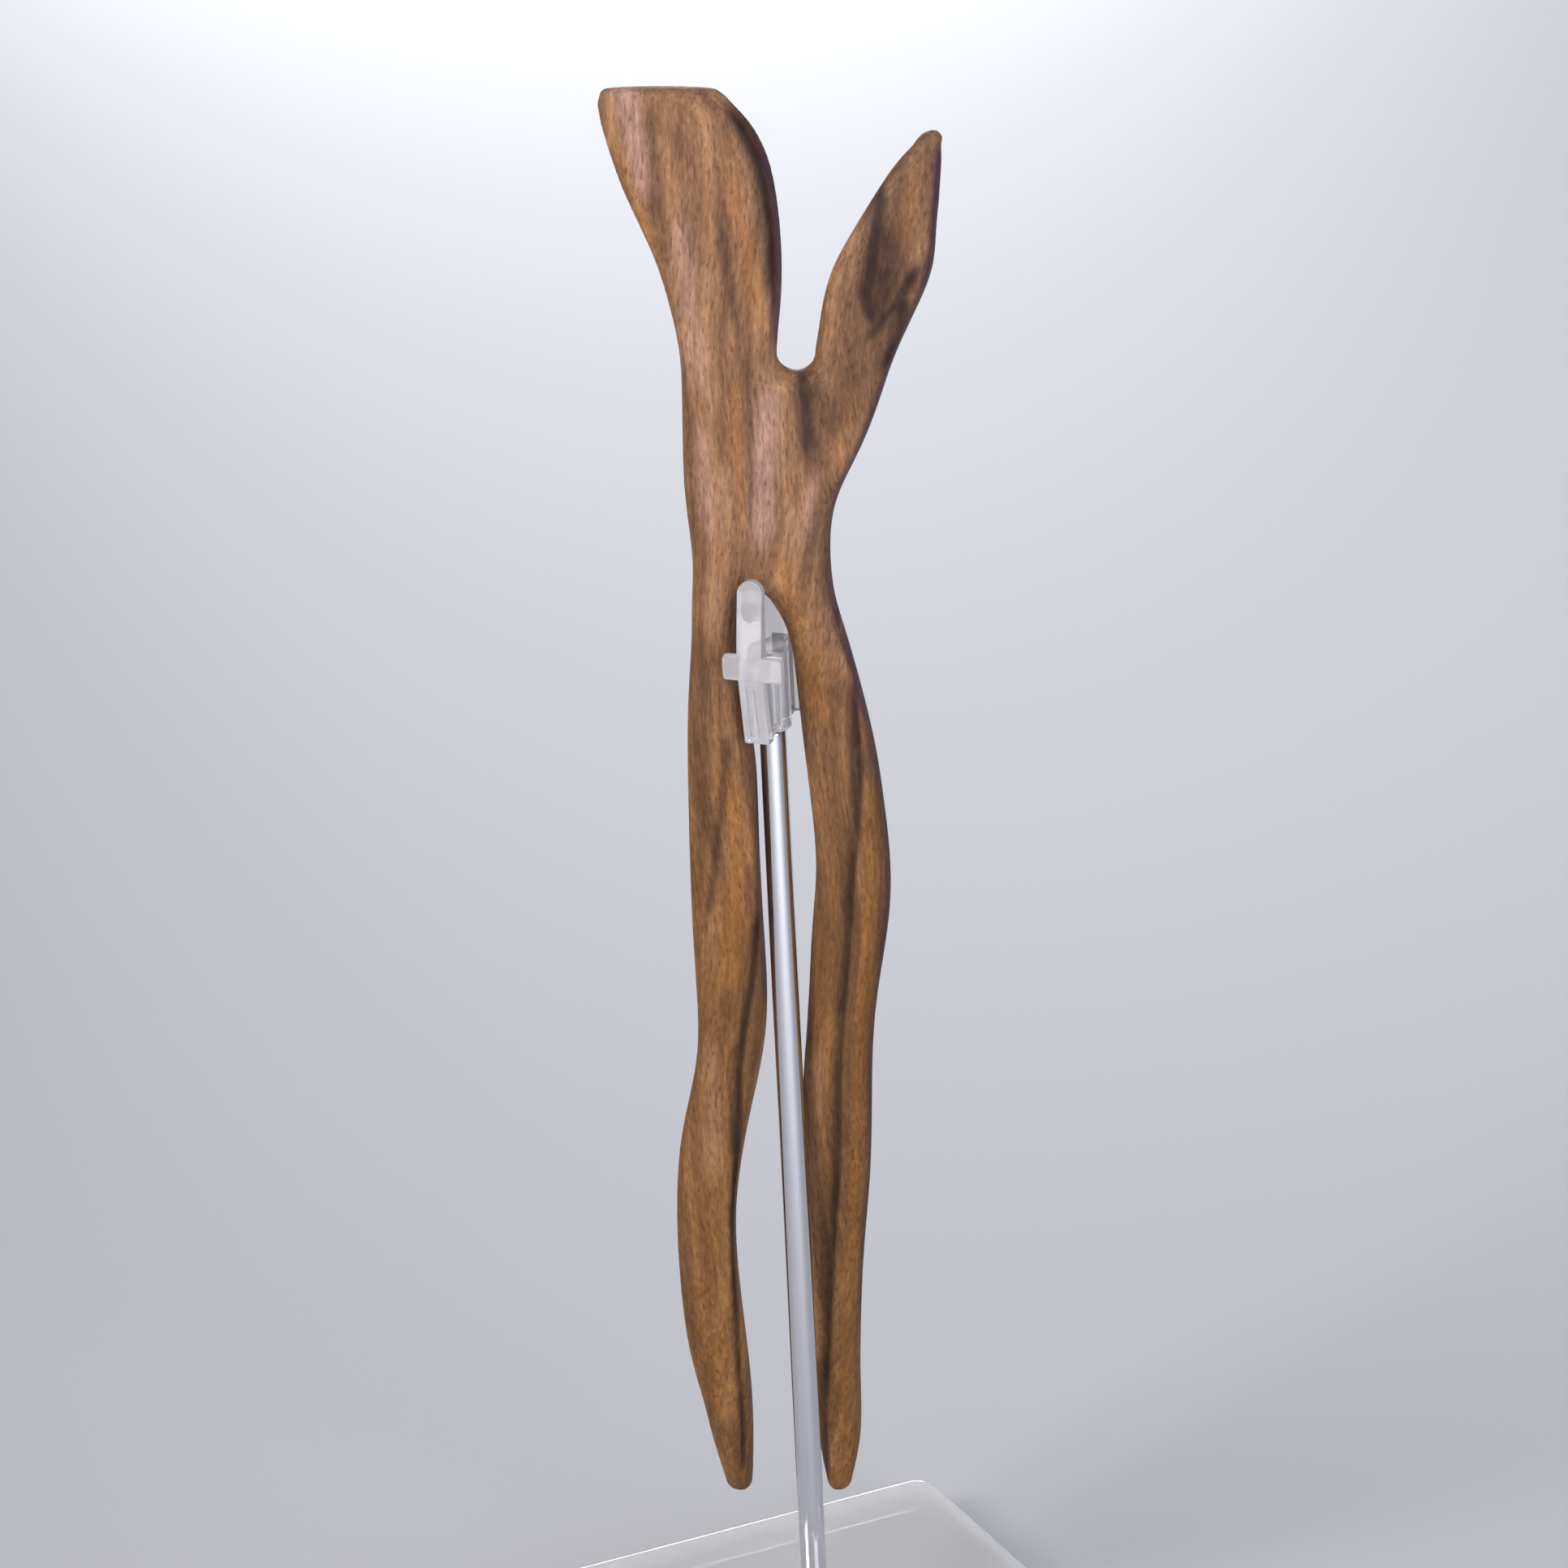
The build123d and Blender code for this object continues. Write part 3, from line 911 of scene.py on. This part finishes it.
@dataclass
class StandPart:
    """What all parts of the stand share: its levels above the slab, its rod and how it leans."""

    material: Finish
    slab_top: float = 5.0
    lean: float = 2.54
    turn: float = 20.0
    foot: float = 110.775
    ears: float = 119.445
    front_foot: float = 4.9
    front_ears: float = 6.2
    lever_thickness: float = 1.4
    rod_radius: float = 1.4
    fit: float = 0.1
    sides: int = 48
    pin_sides: int = 40
    overshoot: float = 1.0
    crease: float = 32.0

    def box(self, name: str, low: Point, high: Point) -> Solid:
        """Add a block between two corners, given in millimetres.

        Args:
            name: the block's name.
            low: its lowest corner.
            high: its highest corner.

        Returns:
            The block, at the origin and in edit mode.
        """
        Bench.clear()
        bpy.ops.mesh.primitive_cube_add(size=1.0)
        bpy.context.object.scale = (Vector(high) - Vector(low)) * MM
        bpy.context.object.location = (Vector(high) + Vector(low)) / 2 * MM
        return Bench.start(name)

    def pin(self, name: str, radius: float, depth: float, centre: Point) -> Solid:
        """Add a round disc or pin that lies from front to back.

        Args:
            name: the pin's name.
            radius: its radius in millimetres.
            depth: its length in millimetres.
            centre: its middle, in millimetres.

        Returns:
            The pin, at the origin and in edit mode.
        """
        Bench.clear()
        bpy.ops.mesh.primitive_cylinder_add(
            vertices=self.pin_sides, radius=radius * MM, depth=depth * MM, rotation=(math.pi / 2, 0, 0),
            location=metres(*centre),
        )
        return Bench.start(name)

    def turned_bar(self, name: str, rings: Sequence[tuple[float, float]]) -> Solid:
        """Draw a round bar upwards from its lowest ring.

        Args:
            name: the bar's name.
            rings: (radius, level) pairs in millimetres, from the lowest up.

        Returns:
            The closed bar, at the origin.
        """
        Bench.clear()
        radius, level = rings[0]
        bpy.ops.mesh.primitive_circle_add(vertices=self.sides, radius=radius * MM, fill_type="NGON")
        bar = Bench.start(name)
        bpy.ops.transform.translate(value=metres(0, 0, level))
        for next_radius, next_level in rings[1:]:
            share = next_radius / radius
            Bench.draw_on(metres(0, 0, next_level - level), (share, share, 1), metres(0, 0, next_level))
            radius, level = next_radius, next_level
        Bench.face_out()
        return bar

    def stand_up(self, piece: Solid, turn: float = 0.0) -> None:
        """Turn a piece with the clip, lean it with the rod and set it on the slab.

        Args:
            piece: a piece made round the rod's axis, with level 0 at the slab's top.
            turn: degrees that the piece is turned about the rod.
        """
        lift = Matrix.Translation(metres(0, 0, self.slab_top))
        lean = Matrix.Rotation(math.radians(-self.lean), 4, "Y")
        piece.matrix_world = lift @ lean @ Matrix.Rotation(math.radians(-turn), 4, "Z")
        Bench.settle(piece)

    def round_off(self, piece: Solid, width: float, segments: int = 3, angle: float = 35.0) -> None:
        """Round the sharp edges of a piece.

        Args:
            piece: the piece.
            width: the bevel's width in millimetres.
            segments: steps in the bevel.
            angle: edges sharper than this are rounded, in degrees.
        """
        Bench.modify(piece, "BEVEL", width=width * MM, segments=segments, limit_method="ANGLE",
                     angle_limit=math.radians(angle), harden_normals=False)

    def smooth(self, piece: Solid) -> None:
        """Shade a piece smooth, with its sharp edges kept and its flat faces flat.

        Args:
            piece: the piece.
        """
        Bench.take(piece)
        bpy.ops.object.shade_smooth_by_angle(angle=math.radians(self.crease))
        Bench.modify(piece, "WEIGHTED_NORMAL", keep_sharp=True)


@dataclass
class Rod(StandPart):
    """Polished rod with a bevelled foot, and a shoulder and thin threaded neck in the clip.

    The shoulder's rings are (radius, drop below the clip's foot), in millimetres.
    """

    sides: int = 64
    foot_depth: float = 3.5
    top_room: float = 6.4
    bevel: float = 0.3
    shoulder: tuple[tuple[float, float], ...] = ((1.4, 0.70), (1.28, 0.49), (0.62, 0.35))
    neck_radius: float = 0.62
    thread_pitch: float = 0.5
    thread_depth: float = 0.13

    def build(self) -> None:
        """Model the rod and dress it."""
        rings = [
            (self.rod_radius - self.bevel, -self.foot_depth),
            (self.rod_radius, self.bevel - self.foot_depth),
            (self.rod_radius, 0.0),
            *((radius, self.foot - drop) for radius, drop in self.shoulder),
        ]
        for turn in range(int(self.top_room / self.thread_pitch)):
            level = self.foot + turn * self.thread_pitch
            rings.append((self.neck_radius, level))
            rings.append((self.neck_radius - self.thread_depth, level + self.thread_pitch / 2))
        rings.append((self.neck_radius - self.bevel, self.foot + self.top_room))
        rod = self.turned_bar("polished_rod", rings)
        self.stand_up(rod)
        self.smooth(rod)
        Bench.finish(rod, "polished_rod", "polished_steel", self.material, "rod")


@dataclass
class ClipLever(StandPart):
    """Front jaw of the clip: a bent plate with a round top, two ears and a peg behind it.

    Each bend gives a level above the slab, how far ahead of the rod's axis the plate's front is
    there, and how thick the plate is.
    """

    half_width: float = 1.36
    plate_shift: float = 0.14
    plate_depth: float = 1.0
    top: float = 128.675
    bends: tuple[Point, ...] = (
        (StandPart.foot, StandPart.front_foot, StandPart.lever_thickness),
        (StandPart.ears, StandPart.front_ears, StandPart.lever_thickness),
        (122.0, 5.95, 1.25),
        (125.5, 5.40, 1.00),
        (128.675, 4.80, 0.80),
    )
    levels: int = 14
    edge: float = 0.36
    edge_angle: float = 50.0
    ear_reach: float = 1.94
    ear_shift: float = 0.4
    ear_height: float = 3.2
    ear_thickness: float = 1.3
    ear_slope: float = 0.45
    ear_taper: float = 0.86
    peg_radius: float = 1.1
    peg_across: float = -1.38
    peg_level: float = 125.175
    peg_front: float = 4.4
    peg_back: float = 3.75
    peg_edge: float = 0.15
    groove_across: float = 0.42
    groove_width: float = 0.30
    groove_depth: float = 0.12
    groove_foot: float = 111.6
    groove_top: float = 117.3

    def plate(self) -> Solid:
        """Draw the bent plate from a round disc.

        Returns:
            The plate, upright and with its grooves still to cut.
        """
        middle = self.top - self.half_width
        plate = self.pin("lever_plate", self.half_width, self.plate_depth, (self.plate_shift, 0, middle))
        Bench.pick(plate, lambda place: place.z < middle * MM - NEAR)
        bpy.ops.transform.resize(value=(1, 1, 0), center_override=metres(0, 0, middle))
        bpy.ops.transform.translate(value=metres(0, 0, self.foot - middle))
        for i in range(1, self.levels):
            level = self.foot + (middle - self.foot) * i / self.levels
            bpy.ops.mesh.select_all(action="SELECT")
            bpy.ops.mesh.bisect(plane_co=metres(0, 0, level), plane_no=(0, 0, 1))
        heights = sorted({round(vert.co.z, 7) for vert in bmesh.from_edit_mesh(plate.data).verts})
        levels, fronts, depths = zip(*self.bends)
        for height in heights:
            front = float(np.interp(height / MM, levels, fronts))
            depth = float(np.interp(height / MM, levels, depths))
            for side, ahead in ((-1, front), (1, front - depth)):
                Bench.pick(plate, lambda place: abs(place.z - height) < NEAR and place.y * side > 0)
                bpy.ops.transform.translate(value=metres(0, -ahead - side * self.plate_depth / 2, 0))
        Bench.clear()
        self.round_off(plate, self.edge, segments=1, angle=self.edge_angle)
        return plate

    def groove(self, across: float) -> Solid:
        """Make the thin slanting bar that cuts a moulded line into the lower front.

        Args:
            across: its middle, in millimetres from the rod's axis.

        Returns:
            The cutting bar.
        """
        levels, fronts, _ = zip(*self.bends)
        low, high = np.interp((self.groove_foot, self.groove_top), levels, fronts)
        bar = self.box(
            "groove",
            (across - self.groove_width / 2, -low - self.overshoot, self.groove_foot),
            (across + self.groove_width / 2, -low + self.groove_depth, self.groove_top),
        )
        Bench.pick(bar, lambda place: place.z > self.groove_foot * MM + NEAR)
        bpy.ops.transform.translate(value=metres(0, low - high, 0))
        Bench.clear()
        return bar

    def ear_bar(self) -> Solid:
        """Make the bar whose two ends are the ears, tapered at the ends.

        Returns:
            The bar.
        """
        reach = self.half_width + self.ear_reach
        half = self.ear_height / 2
        bar = self.box(
            "lever_ears",
            (self.ear_shift - reach, -self.front_ears, self.ears - half),
            (self.ear_shift + reach, self.ear_thickness - self.front_ears, self.ears + half),
        )
        for side in (-1, 1):
            Bench.pick(bar, lambda place: place.x * side > 0)
            end = metres(side * reach, 0, self.ears)
            bpy.ops.transform.resize(value=(1, 1, self.ear_taper), center_override=end)
        Bench.clear()
        self.round_off(bar, self.ear_slope, segments=2)
        return bar

    def peg(self) -> Solid:
        """Make the round peg that the fork hangs on, already where the lean puts it.

        Returns:
            The peg.
        """
        ahead = (self.peg_back - self.peg_front) / 2
        long = self.peg_front + self.peg_back
        peg = self.pin("peg", self.peg_radius, long, (self.peg_across, ahead, self.peg_level))
        self.round_off(peg, self.peg_edge, segments=2)
        return peg

    def build(self) -> None:
        """Model the lever and dress it."""
        lever = self.plate()
        for side in (-1, 1):
            Bench.combine(lever, self.groove(self.plate_shift + side * self.groove_across), Way.CUT)
        Bench.combine(lever, self.ear_bar(), Way.JOIN)
        self.stand_up(lever, self.turn)
        peg = self.peg()
        self.stand_up(peg)
        Bench.combine(lever, peg, Way.JOIN)
        Bench.settle(lever)
        self.smooth(lever)
        Bench.finish(lever, "clip_lever", "clear_clip", self.material, "clip_front_jaw")


@dataclass
class ClipSocket(StandPart):
    """Body of the clip: the block and boss bored for the rod, and the jaw behind the wood."""

    block_half: float = 1.1
    block_edge: float = 0.12
    block_overlap: float = 0.3
    boss_wall: float = 0.5
    boss_edge: float = 0.1
    gap: float = 0.15
    rear_front: float = 3.9
    rear_half: float = 2.3
    rear_thickness: float = 1.4
    rear_height: float = 14.6
    rear_corner: float = 1.2
    rear_corner_steps: int = 6
    rear_edge: float = 0.2
    bore_depth: float = 6.5
    bore_point: float = 0.6
    bore_tip: float = 0.15
    bore_neck: tuple[float, float] = (0.15, 0.3)
    neck_bore: float = 0.68

    def block(self) -> Solid:
        """Make the block between the two jaws.

        Returns:
            The block.
        """
        back = self.lever_thickness + self.gap
        block = self.box(
            "socket_block",
            (-self.block_half, back - self.front_foot, self.foot),
            (self.block_half, self.rear_front + self.block_overlap, self.ears),
        )
        Bench.pick(block, lambda place: place.y < 0 and place.z > self.foot * MM + NEAR)
        bpy.ops.transform.translate(value=metres(0, self.front_foot - self.front_ears, 0))
        Bench.clear()
        self.round_off(block, self.block_edge)
        return block

    def rear_jaw(self) -> Solid:
        """Make the flat jaw behind the wood, with rounded corners.

        Returns:
            The jaw.
        """
        jaw = self.box(
            "rear_jaw",
            (-self.rear_half, self.rear_front, self.foot),
            (self.rear_half, self.rear_front + self.rear_thickness, self.foot + self.rear_height),
        )
        Bench.pick_edges(jaw, lambda a, b: abs(a.y - b.y) > self.rear_thickness / 2 * MM)
        bpy.ops.mesh.bevel(offset=self.rear_corner * MM, segments=self.rear_corner_steps, affect="EDGES")
        Bench.clear()
        self.round_off(jaw, self.rear_edge, segments=2)
        return jaw

    def build(self) -> None:
        """Model the body and dress it."""
        bore = self.rod_radius + self.fit
        boss = bore + self.boss_wall
        neck_low, neck_high = self.bore_neck
        body = self.turned_bar("clip_socket", [
            (boss - self.boss_edge, self.foot),
            (boss, self.foot + self.boss_edge),
            (boss, self.ears - self.boss_edge),
            (boss - self.boss_edge, self.ears),
        ])
        Bench.combine(body, self.block(), Way.JOIN)
        Bench.combine(body, self.rear_jaw(), Way.JOIN)
        hole = self.turned_bar("bore", [
            (bore, self.foot - self.overshoot),
            (bore, self.foot + neck_low),
            (self.neck_bore, self.foot + neck_high),
            (self.neck_bore, self.foot + self.bore_depth),
            (self.bore_tip, self.foot + self.bore_depth + self.bore_point),
        ])
        Bench.combine(body, hole, Way.CUT)
        self.stand_up(body, self.turn)
        self.smooth(body)
        Bench.finish(body, "clip_socket", "clear_clip", self.material, "clip_body")


@dataclass
class Slab(StandPart):
    """Clear square slab with rounded corners, softened edges and the rod's hole."""

    side: float = 60.0
    thickness: float = 5.0
    corner: float = 2.42
    corner_steps: int = 12
    edge: float = 0.5
    slab_turn: float = 28.0
    hole_depth: float = 3.6
    hole_above: float = 4.0
    sawn_layer: str = "sawn_edge"
    sawn_margin: float = 0.4

    def mark_sides(self, slab: Solid) -> None:
        """Mark the upright sides, which are sawn and left matt, in a layer of the mesh.

        Args:
            slab: the finished slab.
        """
        places = np.empty(len(slab.data.vertices) * 3)
        slab.data.vertices.foreach_get("co", places)
        across, ahead, level = places.reshape(-1, 3).T / MM
        upright = np.abs(level - self.thickness / 2) < self.thickness / 2 - self.sawn_margin
        outside = np.hypot(across, ahead) > self.side / 4
        layer = slab.data.attributes.new(name=self.sawn_layer, type="FLOAT", domain="POINT")
        layer.data.foreach_set("value", (upright & outside).astype(float))

    def build(self) -> None:
        """Model the slab and dress it."""
        half = self.side / 2
        slab = self.box("clear_slab", (-half, -half, 0), (half, half, self.thickness))
        Bench.pick_edges(slab, lambda a, b: abs(a.z - b.z) > self.thickness / 2 * MM)
        bpy.ops.mesh.bevel(offset=self.corner * MM, segments=self.corner_steps, affect="EDGES")
        Bench.clear()
        self.round_off(slab, self.edge, segments=4)
        slab.rotation_euler = (0, 0, math.radians(self.slab_turn))
        Bench.settle(slab)
        bore = self.rod_radius + self.fit
        hole = self.turned_bar("rod_hole", [(bore, -self.hole_depth), (bore, self.hole_above)])
        self.stand_up(hole)
        Bench.combine(slab, hole, Way.CUT)
        Bench.settle(slab)
        self.mark_sides(slab)
        self.smooth(slab)
        Bench.finish(slab, "clear_slab", "clear_slab", self.material, "base")


class Lamp(NamedTuple):
    """A square soft light.

    place and target are where it hangs and what it faces, in millimetres. size is its side in
    millimetres, power is in watts, and spread is the full angle that it shines over in degrees.
    """

    name: str
    place: Point
    target: Point
    size: float
    power: float
    colour: str
    spread: float


@dataclass
class Studio:
    """Floor, soft lights and the camera."""

    aim: Point = (-3.72, 0.0, 109.07)
    distance: float = 768.58
    elevation: float = 24.0
    field_of_view: float = 12.0
    floor_side: float = 6000.0
    floor_drop: float = 0.05
    surround: str = "#DDE2EC"
    surround_strength: float = 0.36
    lamps: tuple[Lamp, ...] = (
        Lamp("key", (-400.0, -330.0, 420.0), (0.0, 0.0, 150.0), 260.0, 1.36, "#FFF9F2", 110.0),
        Lamp("fill", (380.0, -640.0, 330.0), (0.0, 0.0, 150.0), 420.0, 0.5, "#F2F4FF", 60.0),
        Lamp("far_floor", (-50.0, 940.0, 200.0), (-50.0, 560.0, 0.0), 260.0, 2.9, "#FDFDFF", 150.0),
        Lamp("floor", (240.0, 360.0, 700.0), (230.0, 280.0, 0.0), 300.0, 0.65, "#FDFDFF", 75.0),
        Lamp("front_floor", (40.0, -400.0, 620.0), (40.0, -320.0, 0.0), 240.0, 0.9, "#FDFDFF", 40.0),
    )

    def build_floor(self) -> None:
        """Lay a plain pale floor."""
        Bench.clear()
        bpy.ops.mesh.primitive_plane_add(size=self.floor_side * MM, location=(0, 0, -self.floor_drop * MM))
        floor = bpy.context.object
        floor.name = "studio_floor"
        floor.data.materials.append(PaleSweep().build())

    def build_camera(self) -> None:
        """Place the camera where the photograph was taken from."""
        tilt = math.radians(self.elevation)
        ahead = Vector((0, math.cos(tilt), -math.sin(tilt)))
        data = bpy.data.cameras.new("camera")
        data.sensor_fit = "HORIZONTAL"
        data.angle = math.radians(self.field_of_view)
        data.clip_start = 0.01
        data.clip_end = 20.0
        camera = bpy.data.objects.new("camera", data)
        camera.location = Vector(self.aim) * MM - ahead * self.distance * MM
        camera.rotation_euler = (math.pi / 2 - tilt, 0, 0)
        bpy.context.scene.collection.objects.link(camera)
        bpy.context.scene.camera = camera

    def hang(self, lamp: Lamp) -> None:
        """Hang a light.

        Args:
            lamp: the light.
        """
        data = bpy.data.lights.new(lamp.name, "AREA")
        data.spread = math.radians(lamp.spread)
        data.shape = "SQUARE"
        data.size = lamp.size * MM
        data.energy = lamp.power
        data.color = linear(lamp.colour)[:3]
        light = bpy.data.objects.new(lamp.name, data)
        light.location = Vector(lamp.place) * MM
        aim = Vector(lamp.target) - Vector(lamp.place)
        light.rotation_euler = aim.to_track_quat("-Z", "Y").to_euler()
        bpy.context.scene.collection.objects.link(light)

    def build(self) -> None:
        """Set up the whole studio: the floor, the camera, a pale surround and the lights."""
        self.build_floor()
        self.build_camera()
        world = bpy.data.worlds.new("surround")
        world.use_nodes = True
        background = world.node_tree.nodes["Background"]
        background.inputs["Color"].default_value = linear(self.surround)
        background.inputs["Strength"].default_value = self.surround_strength
        bpy.context.scene.world = world
        for lamp in self.lamps:
            self.hang(lamp)
        bpy.context.scene.view_settings.view_transform = "Standard"


STREAKS = {
    FigureAndLight.DARK: [
        # lines down the broad lobe
        Streak(1.5, 1.5, 0.50, ((1.00, -0.343), (0.965, -0.335), (0.925, -0.319), (0.88, -0.300))),
        Streak(1.3, 1.3, 0.45, ((0.99, -0.250), (0.975, -0.259), (0.94, -0.265))),
        Streak(0.9, 0.9, 0.50, ((0.97, -0.160), (0.925, -0.148), (0.88, -0.115), (0.84, -0.088))),
        # painted shade on its right-hand bevel, down to the notch
        Streak(1.6, 1.6, 1.00,
               ((1.00, -0.165), (0.993, -0.137), (0.981, -0.088), (0.959, -0.034), (0.940, -0.015),
                (0.922, -0.002), (0.885, 0.008), (0.862, 0.013))),
        # painted shade in the valley under the notch, and dark lines left of it
        Streak(1.3, 2.6, 0.85, ((0.835, 0.092), (0.81, 0.097), (0.785, 0.107), (0.755, 0.107))),
        Streak(0.30, 0.30, 0.60, ((0.845, -0.066), (0.80, -0.058), (0.76, -0.056), (0.715, -0.056))),
        Streak(0.7, 1.3, 0.40, ((0.84, -0.250), (0.80, -0.243), (0.74, -0.235), (0.69, -0.215))),
        Streak(1.2, 1.2, 0.35, ((0.81, -0.145), (0.775, -0.140), (0.755, -0.150))),
        # the pointed lobe's slanting streaks, and the shade round them
        Streak(2.0, 1.9, 0.98,
               ((0.952, 0.340), (0.931, 0.322), (0.914, 0.311), (0.894, 0.297), (0.875, 0.283),
                (0.858, 0.296), (0.840, 0.312))),
        Streak(2.0, 1.9, 0.90,
               ((0.905, 0.455), (0.883, 0.408), (0.871, 0.378), (0.854, 0.320), (0.846, 0.290),
                (0.83, 0.245))),
        Streak(2.4, 1.8, 1.00, ((0.888, 0.392), (0.862, 0.386), (0.841, 0.362), (0.812, 0.322))),
        Streak(3.2, 3.6, 0.80,
               ((0.930, 0.330), (0.90, 0.338), (0.875, 0.336), (0.855, 0.330), (0.835, 0.330))),
        Streak(1.2, 1.4, 0.50, ((0.845, 0.265), (0.829, 0.250), (0.812, 0.208), (0.785, 0.172))),
        Streak(4.8, 4.0, 0.48,
               ((1.00, 0.450), (0.93, 0.360), (0.89, 0.330), (0.855, 0.305), (0.81, 0.235), (0.77, 0.165))),
        # the prongs: a slanting streak and its shade, a line along each crest that is dark figure and
        # painted shade of the facet turned from the light, and the left one's tip
        Streak(1.0, 1.0, 0.65, ((0.59, -0.118), (0.519, -0.152), (0.489, -0.167), (0.44, -0.195))),
        Streak(2.4, 2.0, 0.50, ((0.66, -0.185), (0.59, -0.195), (0.52, -0.203), (0.45, -0.210))),
        Streak(1.3, 0.6, 0.95,
               ((0.465, -0.028), (0.41, -0.050), (0.376, -0.073), (0.343, -0.091), (0.313, -0.094),
                (0.26, -0.104))),
        Streak(0.7, 0.6, 0.95,
               ((0.29, -0.100), (0.232, -0.115), (0.181, -0.113), (0.123, -0.101), (0.07, -0.089),
                (0.01, -0.082))),
        Streak(2.0, 0.45, 0.92,
               ((0.63, 0.246), (0.56, 0.274), (0.52, 0.267), (0.485, 0.253), (0.433, 0.242), (0.384, 0.226),
                (0.36, 0.220))),
        Streak(1.5, 0.50, 0.92,
               ((0.42, 0.235), (0.337, 0.214), (0.282, 0.213), (0.219, 0.201), (0.143, 0.185),
                (0.077, 0.173), (0.0, 0.181))),
        Streak(2.6, 2.6, 0.32, ((0.075, -0.120), (0.04, -0.112), (0.0, -0.100), (-0.03, -0.100))),
    ],
    # golden wood
    FigureAndLight.GOLD: [
        Streak(1.1, 1.1, 0.50, ((0.99, -0.453), (0.942, -0.408), (0.911, -0.352), (0.87, -0.31))),
        Streak(1.4, 1.4, 0.60, ((0.975, -0.128), (0.93, -0.103), (0.907, -0.063), (0.84, -0.018))),
        Streak(0.9, 0.9, 0.50, ((0.83, -0.099), (0.771, -0.093), (0.741, -0.083), (0.70, -0.069))),
        Streak(1.3, 1.3, 0.50, ((0.97, 0.438), (0.927, 0.405), (0.895, 0.385))),
        Streak(1.3, 1.3, 0.40, ((0.83, 0.262), (0.786, 0.224), (0.745, 0.172))),
        Streak(2.0, 2.0, 0.65,
               ((0.57, -0.166), (0.526, -0.105), (0.491, -0.091), (0.45, -0.111), (0.39, -0.127))),
        Streak(2.4, 2.4, 0.35, ((0.30, -0.171), (0.219, -0.190), (0.143, -0.180), (0.05, -0.138))),
        Streak(0.9, 1.8, 0.75,
               ((0.56, 0.281), (0.485, 0.302), (0.433, 0.289), (0.373, 0.270), (0.30, 0.265), (0.219, 0.251),
                (0.143, 0.238), (0.077, 0.232), (0.0, 0.233))),
        Streak(2.2, 2.2, 0.75, ((0.71, 0.041), (0.666, 0.060), (0.62, 0.125), (0.58, 0.165))),
    ],
    # painted sheen: a pinkish highlight on faces turned up and left, and painted light on the right prong's
    # shaded lower left
    FigureAndLight.BLUSH: [
        Streak(2.1, 2.1, 0.72, ((1.02, -0.435), (0.966, -0.381), (0.925, -0.347))),
        Streak(2.6, 2.0, 0.68, ((0.825, 0.014), (0.786, -0.002), (0.753, -0.012), (0.70, -0.024))),
        Streak(2.0, 2.0, 0.45, ((0.93, -0.262), (0.89, -0.245), (0.86, -0.232), (0.80, -0.195))),
        Streak(1.6, 1.6, 0.42, ((0.80, -0.200), (0.764, -0.195), (0.70, -0.163))),
        Streak(1.2, 1.2, 0.40, ((0.765, 0.134), (0.70, 0.089))),
        Streak(1.8, 1.8, 0.45, ((0.365, -0.185), (0.306, -0.171), (0.25, -0.182))),
        Streak(1.6, 1.3, 0.55, ((0.36, 0.145), (0.30, 0.140), (0.22, 0.132), (0.14, 0.138), (0.10, 0.145))),
    ],
    # painted shade: purple-brown along the right-hand edges, which face away from the light
    FigureAndLight.RIM: [
        Streak(1.1, 1.5, 1.00, ((0.89, 0.010), (0.865, 0.020), (0.845, 0.024), (0.825, 0.026))),
        Streak(0.9, 1.2, 0.85,
               ((1.00, -0.100), (0.971, -0.030), (0.94, 0.012), (0.907, 0.033), (0.875, 0.038),
                (0.82, 0.032))),
        Streak(1.1, 0.9, 1.00,
               ((0.975, 0.491), (0.907, 0.483), (0.864, 0.435), (0.84, 0.384), (0.82, 0.349), (0.771, 0.272),
                (0.74, 0.203), (0.694, 0.182), (0.64, 0.215))),
        Streak(0.7, 0.8, 0.90,
               ((0.61, -0.078), (0.56, -0.039), (0.503, -0.030), (0.444, -0.018), (0.37, -0.009))),
        Streak(0.9, 0.9, 0.95,
               ((0.66, 0.205), (0.627, 0.250), (0.583, 0.305), (0.526, 0.345), (0.479, 0.363),
                (0.409, 0.341), (0.343, 0.316), (0.263, 0.310), (0.14, 0.286))),
    ],
}


def main() -> None:
    """Build every piece in order and report it."""
    logging.basicConfig(level=logging.INFO, format="%(name)s %(message)s")
    Studio().build()
    clip = ClearPlastic("moulded_clear_clip", "#F0EEF1", roughness=0.03, haze=0.07, clearness=0.72)
    socket = ClearPlastic("clear_polycarbonate", "#FAF9FA", roughness=0.02, haze=0.06, clearness=0.77)
    acrylic = ClearPlastic("cast_acrylic", "#FDFDFE", roughness=0.03, haze=0.05, clearness=0.72,
                           haze_size=6.0, edge_layer=Slab.sawn_layer)
    HairFork(OiledWalnut().build(), STREAKS).build()
    Rod(PolishedSteel().build()).build()
    ClipLever(clip.build()).build()
    ClipSocket(socket.build()).build()
    Slab(acrylic.build()).build()


if __name__ == "__main__":
    main()
